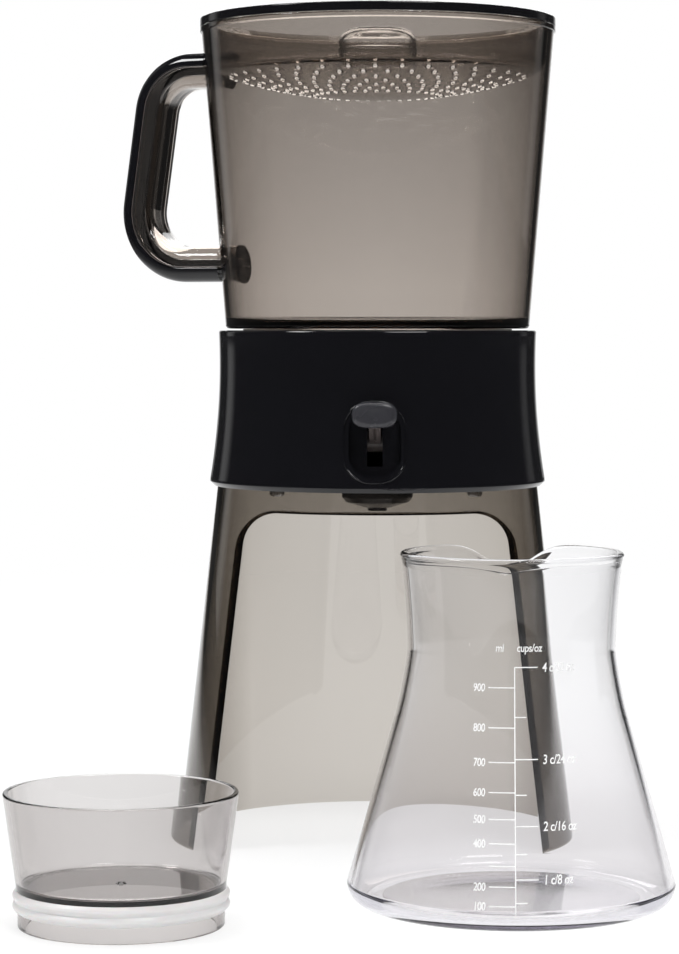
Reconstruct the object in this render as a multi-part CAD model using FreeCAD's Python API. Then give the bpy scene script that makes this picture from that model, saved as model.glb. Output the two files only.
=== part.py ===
"""Cold brew coffee maker: stand, switch collar, brewing container, shower lid, glass carafe and stopper cup.

Millimetres, +Z up. The origin is on the table, on the brewer's own upright axis, and -Y is the front.
Radii and heights in an outline are (distance from the upright axis, height above the table).
"""
import FreeCAD, Part
import math
import os

V = FreeCAD.Vector
UP = V(0, 0, 1)

# Clearances
SEAT_GAP = 0.2          # between a piece that lifts off and what it rests on
SLIDE_GAP = 0.4         # beside a piece that slides in or out by hand
PIN_GAP = 0.05          # a shaft turning or sliding in its hole
PART_GAP = 0.1          # between two fixed mouldings

# Stand: a tapered tube, open at the front
STAND_HEIGHT = 169.0
STAND_FOOT_RADIUS = 95.2
STAND_TOP_RADIUS = 76.1
STAND_WALL = 2.6
STAND_FLANGE_INNER = 56.0
STAND_FLANGE_THICK = 2.6
ARCH_BAND = 11.5        # left whole above the arch
ARCH_FOOT_HALF = 77.8
ARCH_TOP_HALF = 59.6
ARCH_CORNER = 17.0
ARCH_FOOT_CORNER = 5.0
ARCH_RIB_THICK = 2.4
ARCH_RIB_DEPTH = 5.5

# Collar: the waisted black band
COLLAR_LAP = 1.5        # how far it hangs over the stand's top
COLLAR_HEIGHT = 73.5
COLLAR_TOP_RADIUS = 75.6
COLLAR_FOOT_RADIUS = 80.0
COLLAR_WAIST = 1.9      # how far the side bows in
COLLAR_WALL = 2.8
COLLAR_CHAMFER = 2.2
COLLAR_DECK_THICK = 2.8
COLLAR_TOP_EDGE = 1.0
SCREW_CIRCLE = 64.0
SCREW_COUNT = 4
SCREW_RADIUS = 1.6
SCREW_HEAD_RADIUS = 3.4
SCREW_HEAD_THICK = 2.2
SCREW_BITE = 14.0       # how far a screw reaches into its boss
BOSS_RADIUS = 4.4

# Chassis: the plate between stand and collar, with the switch's two ears
CHASSIS_THICK = 2.6
EAR_THICK = 3.0
EAR_DEPTH = 10.0

# Brew switch
PIVOT_Y = -62.0
PIVOT_RISE = 23.1       # above the collar's bottom edge
PIVOT_PIN_RADIUS = 1.5
HUB_RADIUS = 5.0
HUB_HALF = 4.5
STEM_WIDTH = 5.2
STEM_THICK = 7.2
STEM_REACH = 24.6       # pivot to the paddle's middle
STEM_ANGLE = 30.6       # degrees above level, with the switch closed
STEM_GROOVE = 0.9
SWITCH_TURN = 50.0      # degrees, from closed to open
CRANK_OUT = 7.8         # pivot to the lift bar's leg, measured level
CRANK_TIP_RADIUS = 1.9
CRANK_ROOT_HALF = 2.0
CRANK_NECK_HALF = 0.8
PADDLE_WIDTH = 20.4
PADDLE_HEIGHT = 11.8
PADDLE_DEPTH = 7.6
PADDLE_CORNER = 5.2
PADDLE_ROUND = 3.0
SURROUND_WIDTH = 28.7
SURROUND_HEIGHT = 36.3
SURROUND_CORNER = 12.6
SURROUND_FLOOR_Y = -72.4
SURROUND_WALL = 2.0
SURROUND_FLANGE = 3.0
SURROUND_RIM = 1.1      # flat rim around the pocket
SURROUND_SLOPE = 2.0    # how far the pocket narrows towards its floor
SLOT_WIDTH = 7.0
SLOT_HEIGHT = 22.4

# Funnel below the container
FUNNEL_RISE = 31.0      # above the stand's top
FUNNEL_TOP_RADIUS = 36.0
FUNNEL_WALL = 2.0
FUNNEL_THROAT_RADIUS = 17.0
FUNNEL_FLANGE_RADIUS = 25.0
FUNNEL_FLANGE_THICK = 2.2
FUNNEL_THROAT_DROP = 7.6  # shoulder below the stand's top
FUNNEL_SHOULDER_DROP = 2.4
FUNNEL_SHOULDER_IN = 1.8
NOZZLE_RADIUS = 4.6
NOZZLE_BORE = 3.0
NOZZLE_DROP = 6.6       # nozzle's mouth below the shoulder
NOZZLE_LENGTH = 1.0

# Lift bar and its guide
BAR_ABOVE_FUNNEL = 2.4
BAR_THICK = 3.2
BAR_WIDTH = 6.0
BAR_LEG_DEPTH = 3.0
BAR_STEM_RADIUS = 2.2
BAR_STEM_LENGTH = 16.0
GUIDE_DEPTH = 12.0      # guide's foot below the funnel's top
GUIDE_LENGTH = 9.0
GUIDE_WALL = 2.2
GUIDE_ARM_WIDTH = 2.6
GUIDE_ARM_HEIGHT = 5.0
GUIDE_ARMS = 3

# Brewing container
BODY_HEIGHT = 142.2
BODY_TOP_RADIUS = 83.6
BODY_FOOT_RADIUS = 72.2
BODY_WALL = 2.5
BODY_FLOOR_THICK = 3.2
BODY_FOOT_ROUND = 1.6
BODY_FLOOR_ROUND = 2.5
RIM_BEAD_PROUD = 0.6
RIM_BEAD_HEIGHT = 2.4
GASKET_THICK = 1.6
GASKET_SUNK = 0.8
GASKET_WIDTH = 6.0
GASKET_INNER = 58.0
WELL_RADIUS = 42.0
WELL_WALL = 2.4
WELL_DEPTH = 8.7
DRAIN_BORE = 8.0
DRAIN_WALL = 3.0
DRAIN_LENGTH = 19.1     # below the well
SEAT_THICK = 2.0
SEAT_HOLE = 4.2

# Handle, in the upright plane that it stands in
HANDLE_ANGLE = 23.0     # degrees back from straight left
HANDLE_DROP = 17.0      # upper arm below the container's rim
HANDLE_SPAN = 94.1      # from the upper arm to the lower one
HANDLE_TOP_REACH = 115.3
HANDLE_FOOT_REACH = 129.2
HANDLE_TOP_BEND = 22.0
HANDLE_FOOT_BEND = 25.5
HANDLE_THICK = 17.1
HANDLE_WIDTH = 23.5
HANDLE_ROUND = 7.0
HANDLE_BACK_ROUND = 6.5
SPINE_THICK = 7.2
SPINE_TONGUE_DEEP = 3.5
SPINE_TONGUE_WIDE = 10.0
SPINE_SHORT = 5.0       # how far the spine stops from the container's wall
BEND_SHARE = 0.9        # most of an arm that its bend may take up

# Drain valve
POPPET_RADIUS = 6.6
POPPET_THICK = 2.6
POPPET_STEM = 1.9
POPPET_REACH = 3.8      # below the drain's bottom
POPPET_IN_CAGE = 1.4    # how far the closed valve's stem reaches into the cage
CAGE_THICK = 2.4
CAGE_DEPTH = 6.7        # below the well's floor
CAGE_ARMS = 4
CAGE_ARM_WIDTH = 2.4
CAGE_RING = 1.6
SPRING_WIRE = 0.4
SPRING_RADIUS = 3.6
SPRING_TURNS = 3.0
SPRING_STEPS = 42       # sections along the coil
SPRING_SIDES = 8        # sides of each section

# Filter, in the container's well
FILTER_HEIGHT = 6.2
FILTER_RING_WIDE = 5.0
FILTER_MESH_THICK = 0.6
FILTER_MESH_Z = 2.9     # above the filter's foot
FILTER_LAP = 1.6        # mesh held inside the ring
FILTER_SPOKES = 6
FILTER_SPOKE_WIDE = 2.2
FILTER_HUB = 6.0
FILTER_SEAL_THICK = 1.3
FILTER_SEAL_TALL = 3.6

# Shower lid
LID_RIM_RADIUS = 84.2
LID_RIM_THICK = 4.2
LID_RIM_EDGE = 0.9
LID_RIM_FLAT = 1.6      # level part of the rim's top, outside its bevel
LID_RIM_STEP = 0.9      # inner edge of the bevel above the rim's foot
LID_WALL = 2.0
LID_DEPTH = 24.0
PLATE_THICK = 2.2
PLATE_SPHERE = 246.0
PLATE_DEPTH = 33.6      # plate's middle below the container's rim
HOLE_RINGS = 7
HOLES_PER_RING = 36
HOLE_RING_RADIUS = 69.5
HOLE_RING_STEP = 6.6
HOLE_RADIUS = 1.4
KNOB_RADIUS = 18.6
KNOB_PROUD = 0.1        # above the container's rim
KNOB_ROUND = 7.0
KNOB_WALL = 2.0
KNOB_LINE_DROP = 10.0   # a fine groove below the knob's top
KNOB_LINE_DEEP = 0.5

# Glass carafe
CARAFE_X, CARAFE_Y = 59.3, -173.0
CARAFE_HEIGHT = 148.0
CARAFE_RIM_RADIUS = 46.6
CARAFE_WAIST_RADIUS = 43.6
CARAFE_WAIST_Z = 108.0
CARAFE_BELLY_RADIUS = 69.3
CARAFE_BELLY_Z = 9.0
CARAFE_SHOULDER_RADIUS = 49.0
CARAFE_SHOULDER_Z = 79.5
CARAFE_FOOT_RADIUS = 59.0
CARAFE_WALL = 2.2
CARAFE_BASE = 4.0
LIP_WIDTH = 38.0
LIP_DROP = 11.0

# Stopper cup
CUP_X, CUP_Y = -100.6, -224.5
CUP_HEIGHT = 54.8
CUP_RIM_RADIUS = 48.1
CUP_FLARE_RADIUS = 42.9
CUP_SKIRT_RADIUS = 42.2
CUP_FLOOR_Z = 17.0
CUP_FLOOR_THICK = 2.4
CUP_WALL = 2.1
SEAL_BOTTOM = 6.8
SEAL_HEIGHT = 8.4
SEAL_SUNK = 1.2
SEAL_BAND = 0.9         # how far the band stands out of the skirt
SEAL_RIB = 1.3          # how far a rib stands out of the band
GATE_RADIUS = 1.6
GATE_HEIGHT = 0.8


# ---------------------------------------------------------------- tools

def rounded_edges(points, place):
    """Edges of a closed outline. A point is (u, v), or (u, v, radius) where its corner is rounded.

    A point (u, v, "via") isn't a corner: the arc between its two neighbours passes through it.
    """
    corners = [p for p in points if not (len(p) == 3 and p[2] == "via")]
    count = len(corners)
    starts, ends, arcs = [], [], []
    for i, corner in enumerate(corners):
        here = V(corner[0], corner[1], 0)
        radius = corner[2] if len(corner) == 3 else 0
        if not radius:
            starts.append(here)
            ends.append(here)
            continue
        back = V(*corners[i - 1][:2], 0).sub(here).normalize()
        ahead = V(*corners[(i + 1) % count][:2], 0).sub(here).normalize()
        half = back.getAngle(ahead) / 2
        reach = radius / math.tan(half)
        middle = (back + ahead).normalize()
        bulge = radius / math.sin(half) - radius
        starts.append(here + back * reach)
        ends.append(here + ahead * reach)
        arcs.append((here + back * reach, here + middle * bulge, here + ahead * reach))
    vias = {}
    seen = -1
    for p in points:
        if len(p) == 3 and p[2] == "via":
            vias[seen] = V(p[0], p[1], 0)
        else:
            seen += 1
    edges = []
    arc_list = iter(arcs)
    for i, corner in enumerate(corners):
        if len(corner) == 3 and corner[2]:
            a, b, c = next(arc_list)
            edges.append(Part.Arc(place(a), place(b), place(c)).toShape())
        nxt = starts[(i + 1) % count]
        if i in vias:
            edges.append(Part.Arc(place(ends[i]), place(vias[i]), place(nxt)).toShape())
        elif ends[i].distanceToPoint(nxt) > 1e-6:
            edges.append(Part.LineSegment(place(ends[i]), place(nxt)).toShape())
    return edges


def face_of(points, place):
    """Plane face inside a closed outline."""
    return Part.Face(Part.Wire(rounded_edges(points, place)))


def turned(points, x=0.0, y=0.0):
    """Solid turned about an upright axis from an outline of (radius, height) points."""
    face = face_of(points, lambda p: V(x + p.x, y, p.y))
    return face.revolve(V(x, y, 0), UP, 360)


def front_prism(points, y_from, y_to):
    """Solid of an (x, z) outline, pushed along Y."""
    face = face_of(points, lambda p: V(p.x, y_from, p.y))
    return face.extrude(V(0, y_to - y_from, 0))


def side_prism(points, half_width):
    """Solid of a (y, z) outline, as thick as twice half_width and centred on x = 0."""
    face = face_of(points, lambda p: V(-half_width, p.x, p.y))
    return face.extrude(V(2 * half_width, 0, 0))


def post(radius, bottom, top, x=0.0, y=0.0):
    """Upright round bar."""
    return Part.makeCylinder(radius, top - bottom, V(x, y, bottom))


def cross_bar(radius, half_length, y, z):
    """Round bar along X, centred on x = 0."""
    return Part.makeCylinder(radius, 2 * half_length, V(-half_length, y, z), V(1, 0, 0))


def block(x0, x1, y0, y1, z0, z1):
    """Square-edged block between two corners."""
    return Part.makeBox(x1 - x0, y1 - y0, z1 - z0, V(x0, y0, z0))


def on_circle(radius, count, first_deg=0.0):
    """Points spaced evenly on a circle about the upright axis, as (x, y, angle in degrees)."""
    found = []
    for i in range(count):
        angle = first_deg + 360.0 * i / count
        turn = math.radians(angle)
        found.append((radius * math.cos(turn), radius * math.sin(turn), angle))
    return found


def joined(shapes):
    """One clean solid out of several."""
    whole = shapes[0].fuse(shapes[1:]) if len(shapes) > 1 else shapes[0]
    return whole.removeSplitter()


def group(shapes):
    """Separate solids kept together in one node."""
    return Part.makeCompound(shapes)


# ---------------------------------------------------------------- shared sizes

def stand_radius(z):
    """Outside radius of the stand at a height."""
    return STAND_FOOT_RADIUS + (STAND_TOP_RADIUS - STAND_FOOT_RADIUS) * z / STAND_HEIGHT


ARCH_HEIGHT = STAND_HEIGHT - ARCH_BAND
COLLAR_BOTTOM = STAND_HEIGHT - COLLAR_LAP
COLLAR_TOP = COLLAR_BOTTOM + COLLAR_HEIGHT
PIVOT_Z = COLLAR_BOTTOM + PIVOT_RISE
FUNNEL_TOP = STAND_HEIGHT + FUNNEL_RISE
FUNNEL_SHOULDER_Z = STAND_HEIGHT - FUNNEL_THROAT_DROP
NOZZLE_BOTTOM = FUNNEL_SHOULDER_Z - NOZZLE_DROP
NOZZLE_CONE_TOP = NOZZLE_BOTTOM + NOZZLE_LENGTH
BAR_BOTTOM = FUNNEL_TOP + BAR_ABOVE_FUNNEL
GUIDE_BOTTOM = FUNNEL_TOP - GUIDE_DEPTH
BODY_BOTTOM = COLLAR_TOP + GASKET_THICK - GASKET_SUNK
BODY_TOP = BODY_BOTTOM + BODY_HEIGHT
BODY_FLOOR = BODY_BOTTOM + BODY_FLOOR_THICK
BODY_SLOPE = (BODY_TOP_RADIUS - BODY_FOOT_RADIUS) / (BODY_TOP - BODY_BOTTOM)


def body_radius(z):
    """Outside radius of the brewing container at a height."""
    return BODY_FOOT_RADIUS + BODY_SLOPE * (z - BODY_BOTTOM)


WELL_FLOOR = BODY_FLOOR - WELL_DEPTH
WELL_BOTTOM = WELL_FLOOR - BODY_FLOOR_THICK
DRAIN_BOTTOM = WELL_BOTTOM - DRAIN_LENGTH
CAGE_Z = WELL_FLOOR - CAGE_DEPTH
DRAIN_RADIUS = DRAIN_BORE + DRAIN_WALL
SEAT_Z = DRAIN_BOTTOM + SEAT_THICK
CHASSIS_TOP = STAND_HEIGHT + CHASSIS_THICK
CRANK_Z = PIVOT_Z - CRANK_OUT * math.tan(math.radians(SWITCH_TURN / 2))
LEG_Y = PIVOT_Y + CRANK_OUT
POPPET_TIP = DRAIN_BOTTOM - POPPET_REACH
BAR_PIN_TOP = POPPET_TIP - SEAT_GAP
SURROUND_Z = PIVOT_Z
HANDLE_TOP_Z = BODY_TOP - HANDLE_DROP
HANDLE_FOOT_Z = HANDLE_TOP_Z - HANDLE_SPAN
LID_BOTTOM = BODY_TOP + SEAT_GAP
LID_TOP = LID_BOTTOM + LID_RIM_THICK
PLATE_MIDDLE_Z = BODY_TOP - PLATE_DEPTH
PLATE_TOP_SPHERE = PLATE_SPHERE - PLATE_THICK
KNOB_TOP = BODY_TOP + KNOB_PROUD
KNOB_LINE_Z = KNOB_TOP - KNOB_LINE_DROP


def skirt_radius(z):
    """Outside radius of the lid's skirt, which follows the container's inner wall."""
    return body_radius(z) - BODY_WALL - SLIDE_GAP


def plate_drop(radius, sphere):
    """How much higher a dished surface stands at a radius than at its middle."""
    return sphere - math.sqrt(sphere ** 2 - radius ** 2)


# ---------------------------------------------------------------- stand

def arch_outline(grow):
    """Front opening of the stand, in (x, z), widened all round by grow."""
    top = ARCH_HEIGHT + grow
    foot = ARCH_FOOT_HALF + grow
    head = ARCH_TOP_HALF + grow
    corner = ARCH_CORNER + grow
    outside = foot + 4 * ARCH_FOOT_CORNER
    below = -2 * ARCH_FOOT_CORNER
    side = [(outside, below), (outside, 0.0), (foot, 0.0, ARCH_FOOT_CORNER), (head, top, corner)]
    return side + [(-p[0],) + tuple(p[1:]) for p in reversed(side)]


def stand_cone(inset):
    """The stand's full outer shape, drawn in by inset."""
    return turned([(0, 0), (STAND_FOOT_RADIUS - inset, 0), (STAND_TOP_RADIUS - inset, STAND_HEIGHT),
                   (0, STAND_HEIGHT)])


def stand_shell():
    flange_bottom = STAND_HEIGHT - STAND_FLANGE_THICK
    walls = turned([(STAND_FOOT_RADIUS - STAND_WALL, 0), (STAND_FOOT_RADIUS, 0),
                    (STAND_TOP_RADIUS, STAND_HEIGHT, 0.8), (STAND_FLANGE_INNER, STAND_HEIGHT),
                    (STAND_FLANGE_INNER, flange_bottom),
                    (stand_radius(flange_bottom) - STAND_WALL, flange_bottom, 1.5)])
    reach = -STAND_FOOT_RADIUS - 5
    opening = front_prism(arch_outline(0), 0, reach)
    rib = front_prism(arch_outline(ARCH_RIB_THICK), 0, reach).cut(opening)
    rib = rib.common(stand_cone(0).cut(stand_cone(STAND_WALL + ARCH_RIB_DEPTH)))
    shell = walls.cut(opening).fuse(rib)
    holes = [post(SCREW_RADIUS + PART_GAP, flange_bottom - 1, STAND_HEIGHT + 1, x, y)
             for x, y, _ in on_circle(SCREW_CIRCLE, SCREW_COUNT, 45)]
    return shell.cut(holes).removeSplitter()


# ---------------------------------------------------------------- collar and what it carries

def collar_side(inset, bottom, top):
    """Outline points up the waisted side of the collar, from bottom to top, drawn in by inset."""
    foot = (COLLAR_FOOT_RADIUS - inset, bottom)
    head = (COLLAR_TOP_RADIUS - inset, top)
    middle = ((foot[0] + head[0]) / 2 - COLLAR_WAIST, (bottom + top) / 2, "via")
    return [foot, middle, head]


def collar_skin():
    """Outline points up the collar's outer face."""
    side = collar_side(0, COLLAR_BOTTOM + COLLAR_CHAMFER, COLLAR_TOP - COLLAR_TOP_EDGE)
    return [(COLLAR_FOOT_RADIUS - COLLAR_CHAMFER, COLLAR_BOTTOM)] + side


def collar_lining(gap):
    """Outline points up the collar's inner face, drawn in by gap."""
    return collar_side(COLLAR_WALL + gap, COLLAR_BOTTOM, COLLAR_TOP - COLLAR_DECK_THICK)


def turned_to_axis(side):
    """Full solid inside a side that runs from bottom to top."""
    return turned([(0, side[0][1])] + side + [(0, side[-1][1])])


def surround_outline(grow):
    """Rounded outline of the switch's pocket in (x, z), widened by grow."""
    half_w = SURROUND_WIDTH / 2 + grow
    half_h = SURROUND_HEIGHT / 2 + grow
    corner = SURROUND_CORNER + grow
    return [(-half_w, SURROUND_Z - half_h, corner), (half_w, SURROUND_Z - half_h, corner),
            (half_w, SURROUND_Z + half_h, corner), (-half_w, SURROUND_Z + half_h, corner)]


def collar_shell():
    deck_bottom = COLLAR_TOP - COLLAR_DECK_THICK
    hole = WELL_RADIUS + WELL_WALL + SLIDE_GAP
    shell = turned(collar_skin() + [(COLLAR_TOP_RADIUS - COLLAR_TOP_EDGE, COLLAR_TOP), (hole, COLLAR_TOP),
                                    (hole, deck_bottom)] + collar_lining(0)[::-1])
    bosses = [post(BOSS_RADIUS, CHASSIS_TOP, deck_bottom + 0.5, x, y)
              for x, y, _ in on_circle(SCREW_CIRCLE, SCREW_COUNT, 45)]
    shell = shell.fuse(bosses)
    pilots = [post(SCREW_RADIUS, CHASSIS_TOP - 1, CHASSIS_TOP + SCREW_BITE, x, y)
              for x, y, _ in on_circle(SCREW_CIRCLE, SCREW_COUNT, 45)]
    groove = turned([(GASKET_INNER, COLLAR_TOP - GASKET_SUNK),
                     (GASKET_INNER + GASKET_WIDTH, COLLAR_TOP - GASKET_SUNK),
                     (GASKET_INNER + GASKET_WIDTH, COLLAR_TOP + 1), (GASKET_INNER, COLLAR_TOP + 1)])
    window = front_prism(surround_outline(PART_GAP), PIVOT_Y, -COLLAR_FOOT_RADIUS - 5)
    return shell.cut(pilots + [groove, window]).removeSplitter()


def chassis():
    radius = COLLAR_FOOT_RADIUS - COLLAR_WALL - COLLAR_WAIST
    plate = turned([(FUNNEL_THROAT_RADIUS + PART_GAP, STAND_HEIGHT), (radius, STAND_HEIGHT),
                    (radius, CHASSIS_TOP), (FUNNEL_THROAT_RADIUS + PART_GAP, CHASSIS_TOP)])
    ear_in = HUB_HALF + SLIDE_GAP
    ears = []
    for side in (-1, 1):
        x0, x1 = sorted((side * ear_in, side * (ear_in + EAR_THICK)))
        ear = Part.makeBox(x1 - x0, EAR_DEPTH, PIVOT_Z - CHASSIS_TOP + 1,
                           V(x0, PIVOT_Y - EAR_DEPTH / 2, CHASSIS_TOP - 1))
        cap = Part.makeCylinder(EAR_DEPTH / 2, x1 - x0, V(x0, PIVOT_Y, PIVOT_Z), V(1, 0, 0))
        ears += [ear, cap]
    body = plate.fuse(ears)
    holes = [post(SCREW_RADIUS + PART_GAP, STAND_HEIGHT - 1, CHASSIS_TOP + 1, x, y)
             for x, y, _ in on_circle(SCREW_CIRCLE, SCREW_COUNT, 45)]
    pin = cross_bar(PIVOT_PIN_RADIUS, ear_in + 2 * EAR_THICK, PIVOT_Y, PIVOT_Z)
    notch_half = SURROUND_WIDTH / 2 + SURROUND_FLANGE + SLIDE_GAP
    notch = block(-notch_half, notch_half, -radius - 1, SURROUND_FLOOR_Y + SURROUND_WALL + SLIDE_GAP,
                  STAND_HEIGHT - 1, CHASSIS_TOP + 1)
    return body.cut(holes + [pin, notch]).removeSplitter()


def collar_screws():
    """Four pan-head screws, driven up through the stand's flange and the chassis."""
    seat = STAND_HEIGHT - STAND_FLANGE_THICK
    screws = []
    for x, y, _ in on_circle(SCREW_CIRCLE, SCREW_COUNT, 45):
        outline = [(0, seat - SCREW_HEAD_THICK), (SCREW_HEAD_RADIUS, seat - SCREW_HEAD_THICK, 1.2),
                   (SCREW_HEAD_RADIUS, seat), (SCREW_RADIUS, seat),
                   (SCREW_RADIUS, CHASSIS_TOP + SCREW_BITE - 1.5),
                   (0, CHASSIS_TOP + SCREW_BITE - 0.2)]
        screws.append(turned(outline, x, y))
    return group(screws)


def switch_surround():
    """Black insert that forms the pocket and its slot, held behind the collar's wall by a flange."""
    back = SURROUND_FLOOR_Y + SURROUND_WALL
    front = -COLLAR_FOOT_RADIUS - 5
    plug = front_prism(surround_outline(0), back, front).common(turned_to_axis(collar_skin()))
    flange = front_prism(surround_outline(SURROUND_FLANGE), back, front)
    flange = flange.common(turned_to_axis(collar_lining(PART_GAP)))
    mouth = Part.Wire(rounded_edges(surround_outline(-SURROUND_RIM), lambda p: V(p.x, front, p.y)))
    floor = Part.Wire(rounded_edges(surround_outline(-SURROUND_RIM - SURROUND_SLOPE),
                                    lambda p: V(p.x, SURROUND_FLOOR_Y, p.y)))
    pocket = Part.makeLoft([mouth, floor], True, True)
    slot = block(-SLOT_WIDTH / 2, SLOT_WIDTH / 2, front, back + 5,
                 SURROUND_Z - SLOT_HEIGHT / 2, SURROUND_Z + SLOT_HEIGHT / 2)
    return plug.fuse(flange).cut([pocket, slot]).removeSplitter()


def pivot_pin():
    half = HUB_HALF + SLIDE_GAP + EAR_THICK
    return cross_bar(PIVOT_PIN_RADIUS, half, PIVOT_Y, PIVOT_Z)


def along_stem(distance, aside):
    """Point of the switch's side view at a distance from the pivot along the stem, and aside of it."""
    turn = math.radians(STEM_ANGLE)
    return (PIVOT_Y - distance * math.cos(turn) - aside * math.sin(turn),
            PIVOT_Z + distance * math.sin(turn) - aside * math.cos(turn))


def switch_lever():
    """Hub, stem out to the paddle, and the short crank that lifts the bar."""
    hub = cross_bar(HUB_RADIUS, HUB_HALF, PIVOT_Y, PIVOT_Z)
    half = STEM_THICK / 2
    stem = side_prism([along_stem(0, half), along_stem(STEM_REACH, half),
                       along_stem(STEM_REACH, -half), along_stem(0, -half)], STEM_WIDTH / 2)
    groove = side_prism([along_stem(HUB_RADIUS + 1.5, half - STEM_GROOVE),
                         along_stem(STEM_REACH, half - STEM_GROOVE),
                         along_stem(STEM_REACH, half + 1), along_stem(HUB_RADIUS + 1.5, half + 1)],
                        STEM_GROOVE / 2)
    crank = side_prism([(PIVOT_Y, PIVOT_Z - CRANK_ROOT_HALF), (LEG_Y, CRANK_Z - CRANK_NECK_HALF),
                        (LEG_Y, CRANK_Z + CRANK_NECK_HALF), (PIVOT_Y, PIVOT_Z + CRANK_ROOT_HALF)],
                       STEM_WIDTH / 2)
    tip = cross_bar(CRANK_TIP_RADIUS, STEM_WIDTH / 2, LEG_Y, CRANK_Z)
    bore = cross_bar(PIVOT_PIN_RADIUS + PIN_GAP, HUB_HALF + 1, PIVOT_Y, PIVOT_Z)
    body = hub.fuse([stem, crank, tip]).cut([bore, groove, paddle_block()])
    return body.removeSplitter()


def paddle_block():
    """The soft cap's full shape, before the stem's socket."""
    middle_y, middle_z = along_stem(STEM_REACH, 0)
    half_d, half_h = PADDLE_DEPTH / 2, PADDLE_HEIGHT / 2
    y0, y1 = middle_y - half_d, middle_y + half_d
    half_w = PADDLE_WIDTH / 2
    face = face_of([(-half_w, middle_z - half_h, PADDLE_CORNER), (half_w, middle_z - half_h, PADDLE_CORNER),
                    (half_w, middle_z + half_h, PADDLE_CORNER), (-half_w, middle_z + half_h, PADDLE_CORNER)],
                   lambda p: V(p.x, y1, p.y))
    cap = face.extrude(V(0, y0 - y1, 0))
    rims = [e for e in cap.Edges if all(abs(v.Point.y - y0) < 1e-6 for v in e.Vertexes)]
    return cap.makeFillet(PADDLE_ROUND, rims)


def switch_paddle():
    return paddle_block()


def drain_funnel():
    """Bowl, throat and nozzle that lead the coffee down into the carafe."""
    shoulder = (FUNNEL_THROAT_RADIUS - FUNNEL_SHOULDER_IN, FUNNEL_SHOULDER_Z - FUNNEL_SHOULDER_DROP)
    flange_top = CHASSIS_TOP + FUNNEL_FLANGE_THICK
    inner_throat = FUNNEL_THROAT_RADIUS - FUNNEL_WALL
    outline = [(NOZZLE_BORE, NOZZLE_BOTTOM), (NOZZLE_RADIUS, NOZZLE_BOTTOM),
               (NOZZLE_RADIUS, NOZZLE_CONE_TOP), shoulder, (FUNNEL_THROAT_RADIUS, FUNNEL_SHOULDER_Z),
               (FUNNEL_THROAT_RADIUS, CHASSIS_TOP), (FUNNEL_FLANGE_RADIUS, CHASSIS_TOP),
               (FUNNEL_FLANGE_RADIUS, flange_top), (FUNNEL_THROAT_RADIUS + 2, flange_top),
               (FUNNEL_TOP_RADIUS, FUNNEL_TOP), (FUNNEL_TOP_RADIUS - FUNNEL_WALL, FUNNEL_TOP),
               (inner_throat, flange_top), (inner_throat, FUNNEL_SHOULDER_Z + FUNNEL_WALL),
               (NOZZLE_BORE, NOZZLE_CONE_TOP + FUNNEL_WALL)]
    return turned(outline)


def funnel_hollow():
    """The space inside the funnel's bowl."""
    flange_top = CHASSIS_TOP + FUNNEL_FLANGE_THICK
    return turned([(0, flange_top), (FUNNEL_THROAT_RADIUS - FUNNEL_WALL, flange_top),
                   (FUNNEL_TOP_RADIUS - FUNNEL_WALL, FUNNEL_TOP), (0, FUNNEL_TOP)])


def lift_bar_guide():
    """Sleeve on three arms that rest against the funnel's bowl."""
    sleeve_radius = BAR_STEM_RADIUS + PIN_GAP + GUIDE_WALL
    sleeve = post(sleeve_radius, GUIDE_BOTTOM, GUIDE_BOTTOM + GUIDE_LENGTH)
    arms = []
    for _, _, angle in on_circle(1, GUIDE_ARMS, 30):
        arm = block(0, FUNNEL_TOP_RADIUS, -GUIDE_ARM_WIDTH / 2, GUIDE_ARM_WIDTH / 2,
                    GUIDE_BOTTOM, GUIDE_BOTTOM + GUIDE_ARM_HEIGHT)
        arm.rotate(V(0, 0, 0), UP, angle)
        arms.append(arm.common(funnel_hollow()))
    bore = post(BAR_STEM_RADIUS + PIN_GAP, GUIDE_BOTTOM - 1, GUIDE_BOTTOM + GUIDE_LENGTH + 1)
    return sleeve.fuse(arms).cut(bore).removeSplitter()


def lift_bar():
    """Bar from the switch's crank to the middle, with a pin up to the valve and a stem down."""
    half = BAR_WIDTH / 2
    top = BAR_BOTTOM + BAR_THICK
    leg_bottom = CRANK_Z + CRANK_TIP_RADIUS + SEAT_GAP
    leg_y0 = LEG_Y - BAR_LEG_DEPTH / 2
    bar = block(-half, half, leg_y0, 0, BAR_BOTTOM, top)
    end = post(half, BAR_BOTTOM, top)
    leg = block(-half + 0.4, half - 0.4, leg_y0, leg_y0 + BAR_LEG_DEPTH, leg_bottom, BAR_BOTTOM + 1)
    pin = post(BAR_STEM_RADIUS, BAR_BOTTOM, BAR_PIN_TOP)
    stem = post(BAR_STEM_RADIUS, BAR_BOTTOM - BAR_STEM_LENGTH, top)
    return joined([bar, end, leg, pin, stem])


def seat_gasket():
    return turned([(GASKET_INNER, COLLAR_TOP - GASKET_SUNK),
                   (GASKET_INNER + GASKET_WIDTH, COLLAR_TOP - GASKET_SUNK),
                   (GASKET_INNER + GASKET_WIDTH, BODY_BOTTOM - SEAT_GAP, 0.4),
                   (GASKET_INNER, BODY_BOTTOM - SEAT_GAP, 0.4)])


# ---------------------------------------------------------------- brewing container

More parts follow.
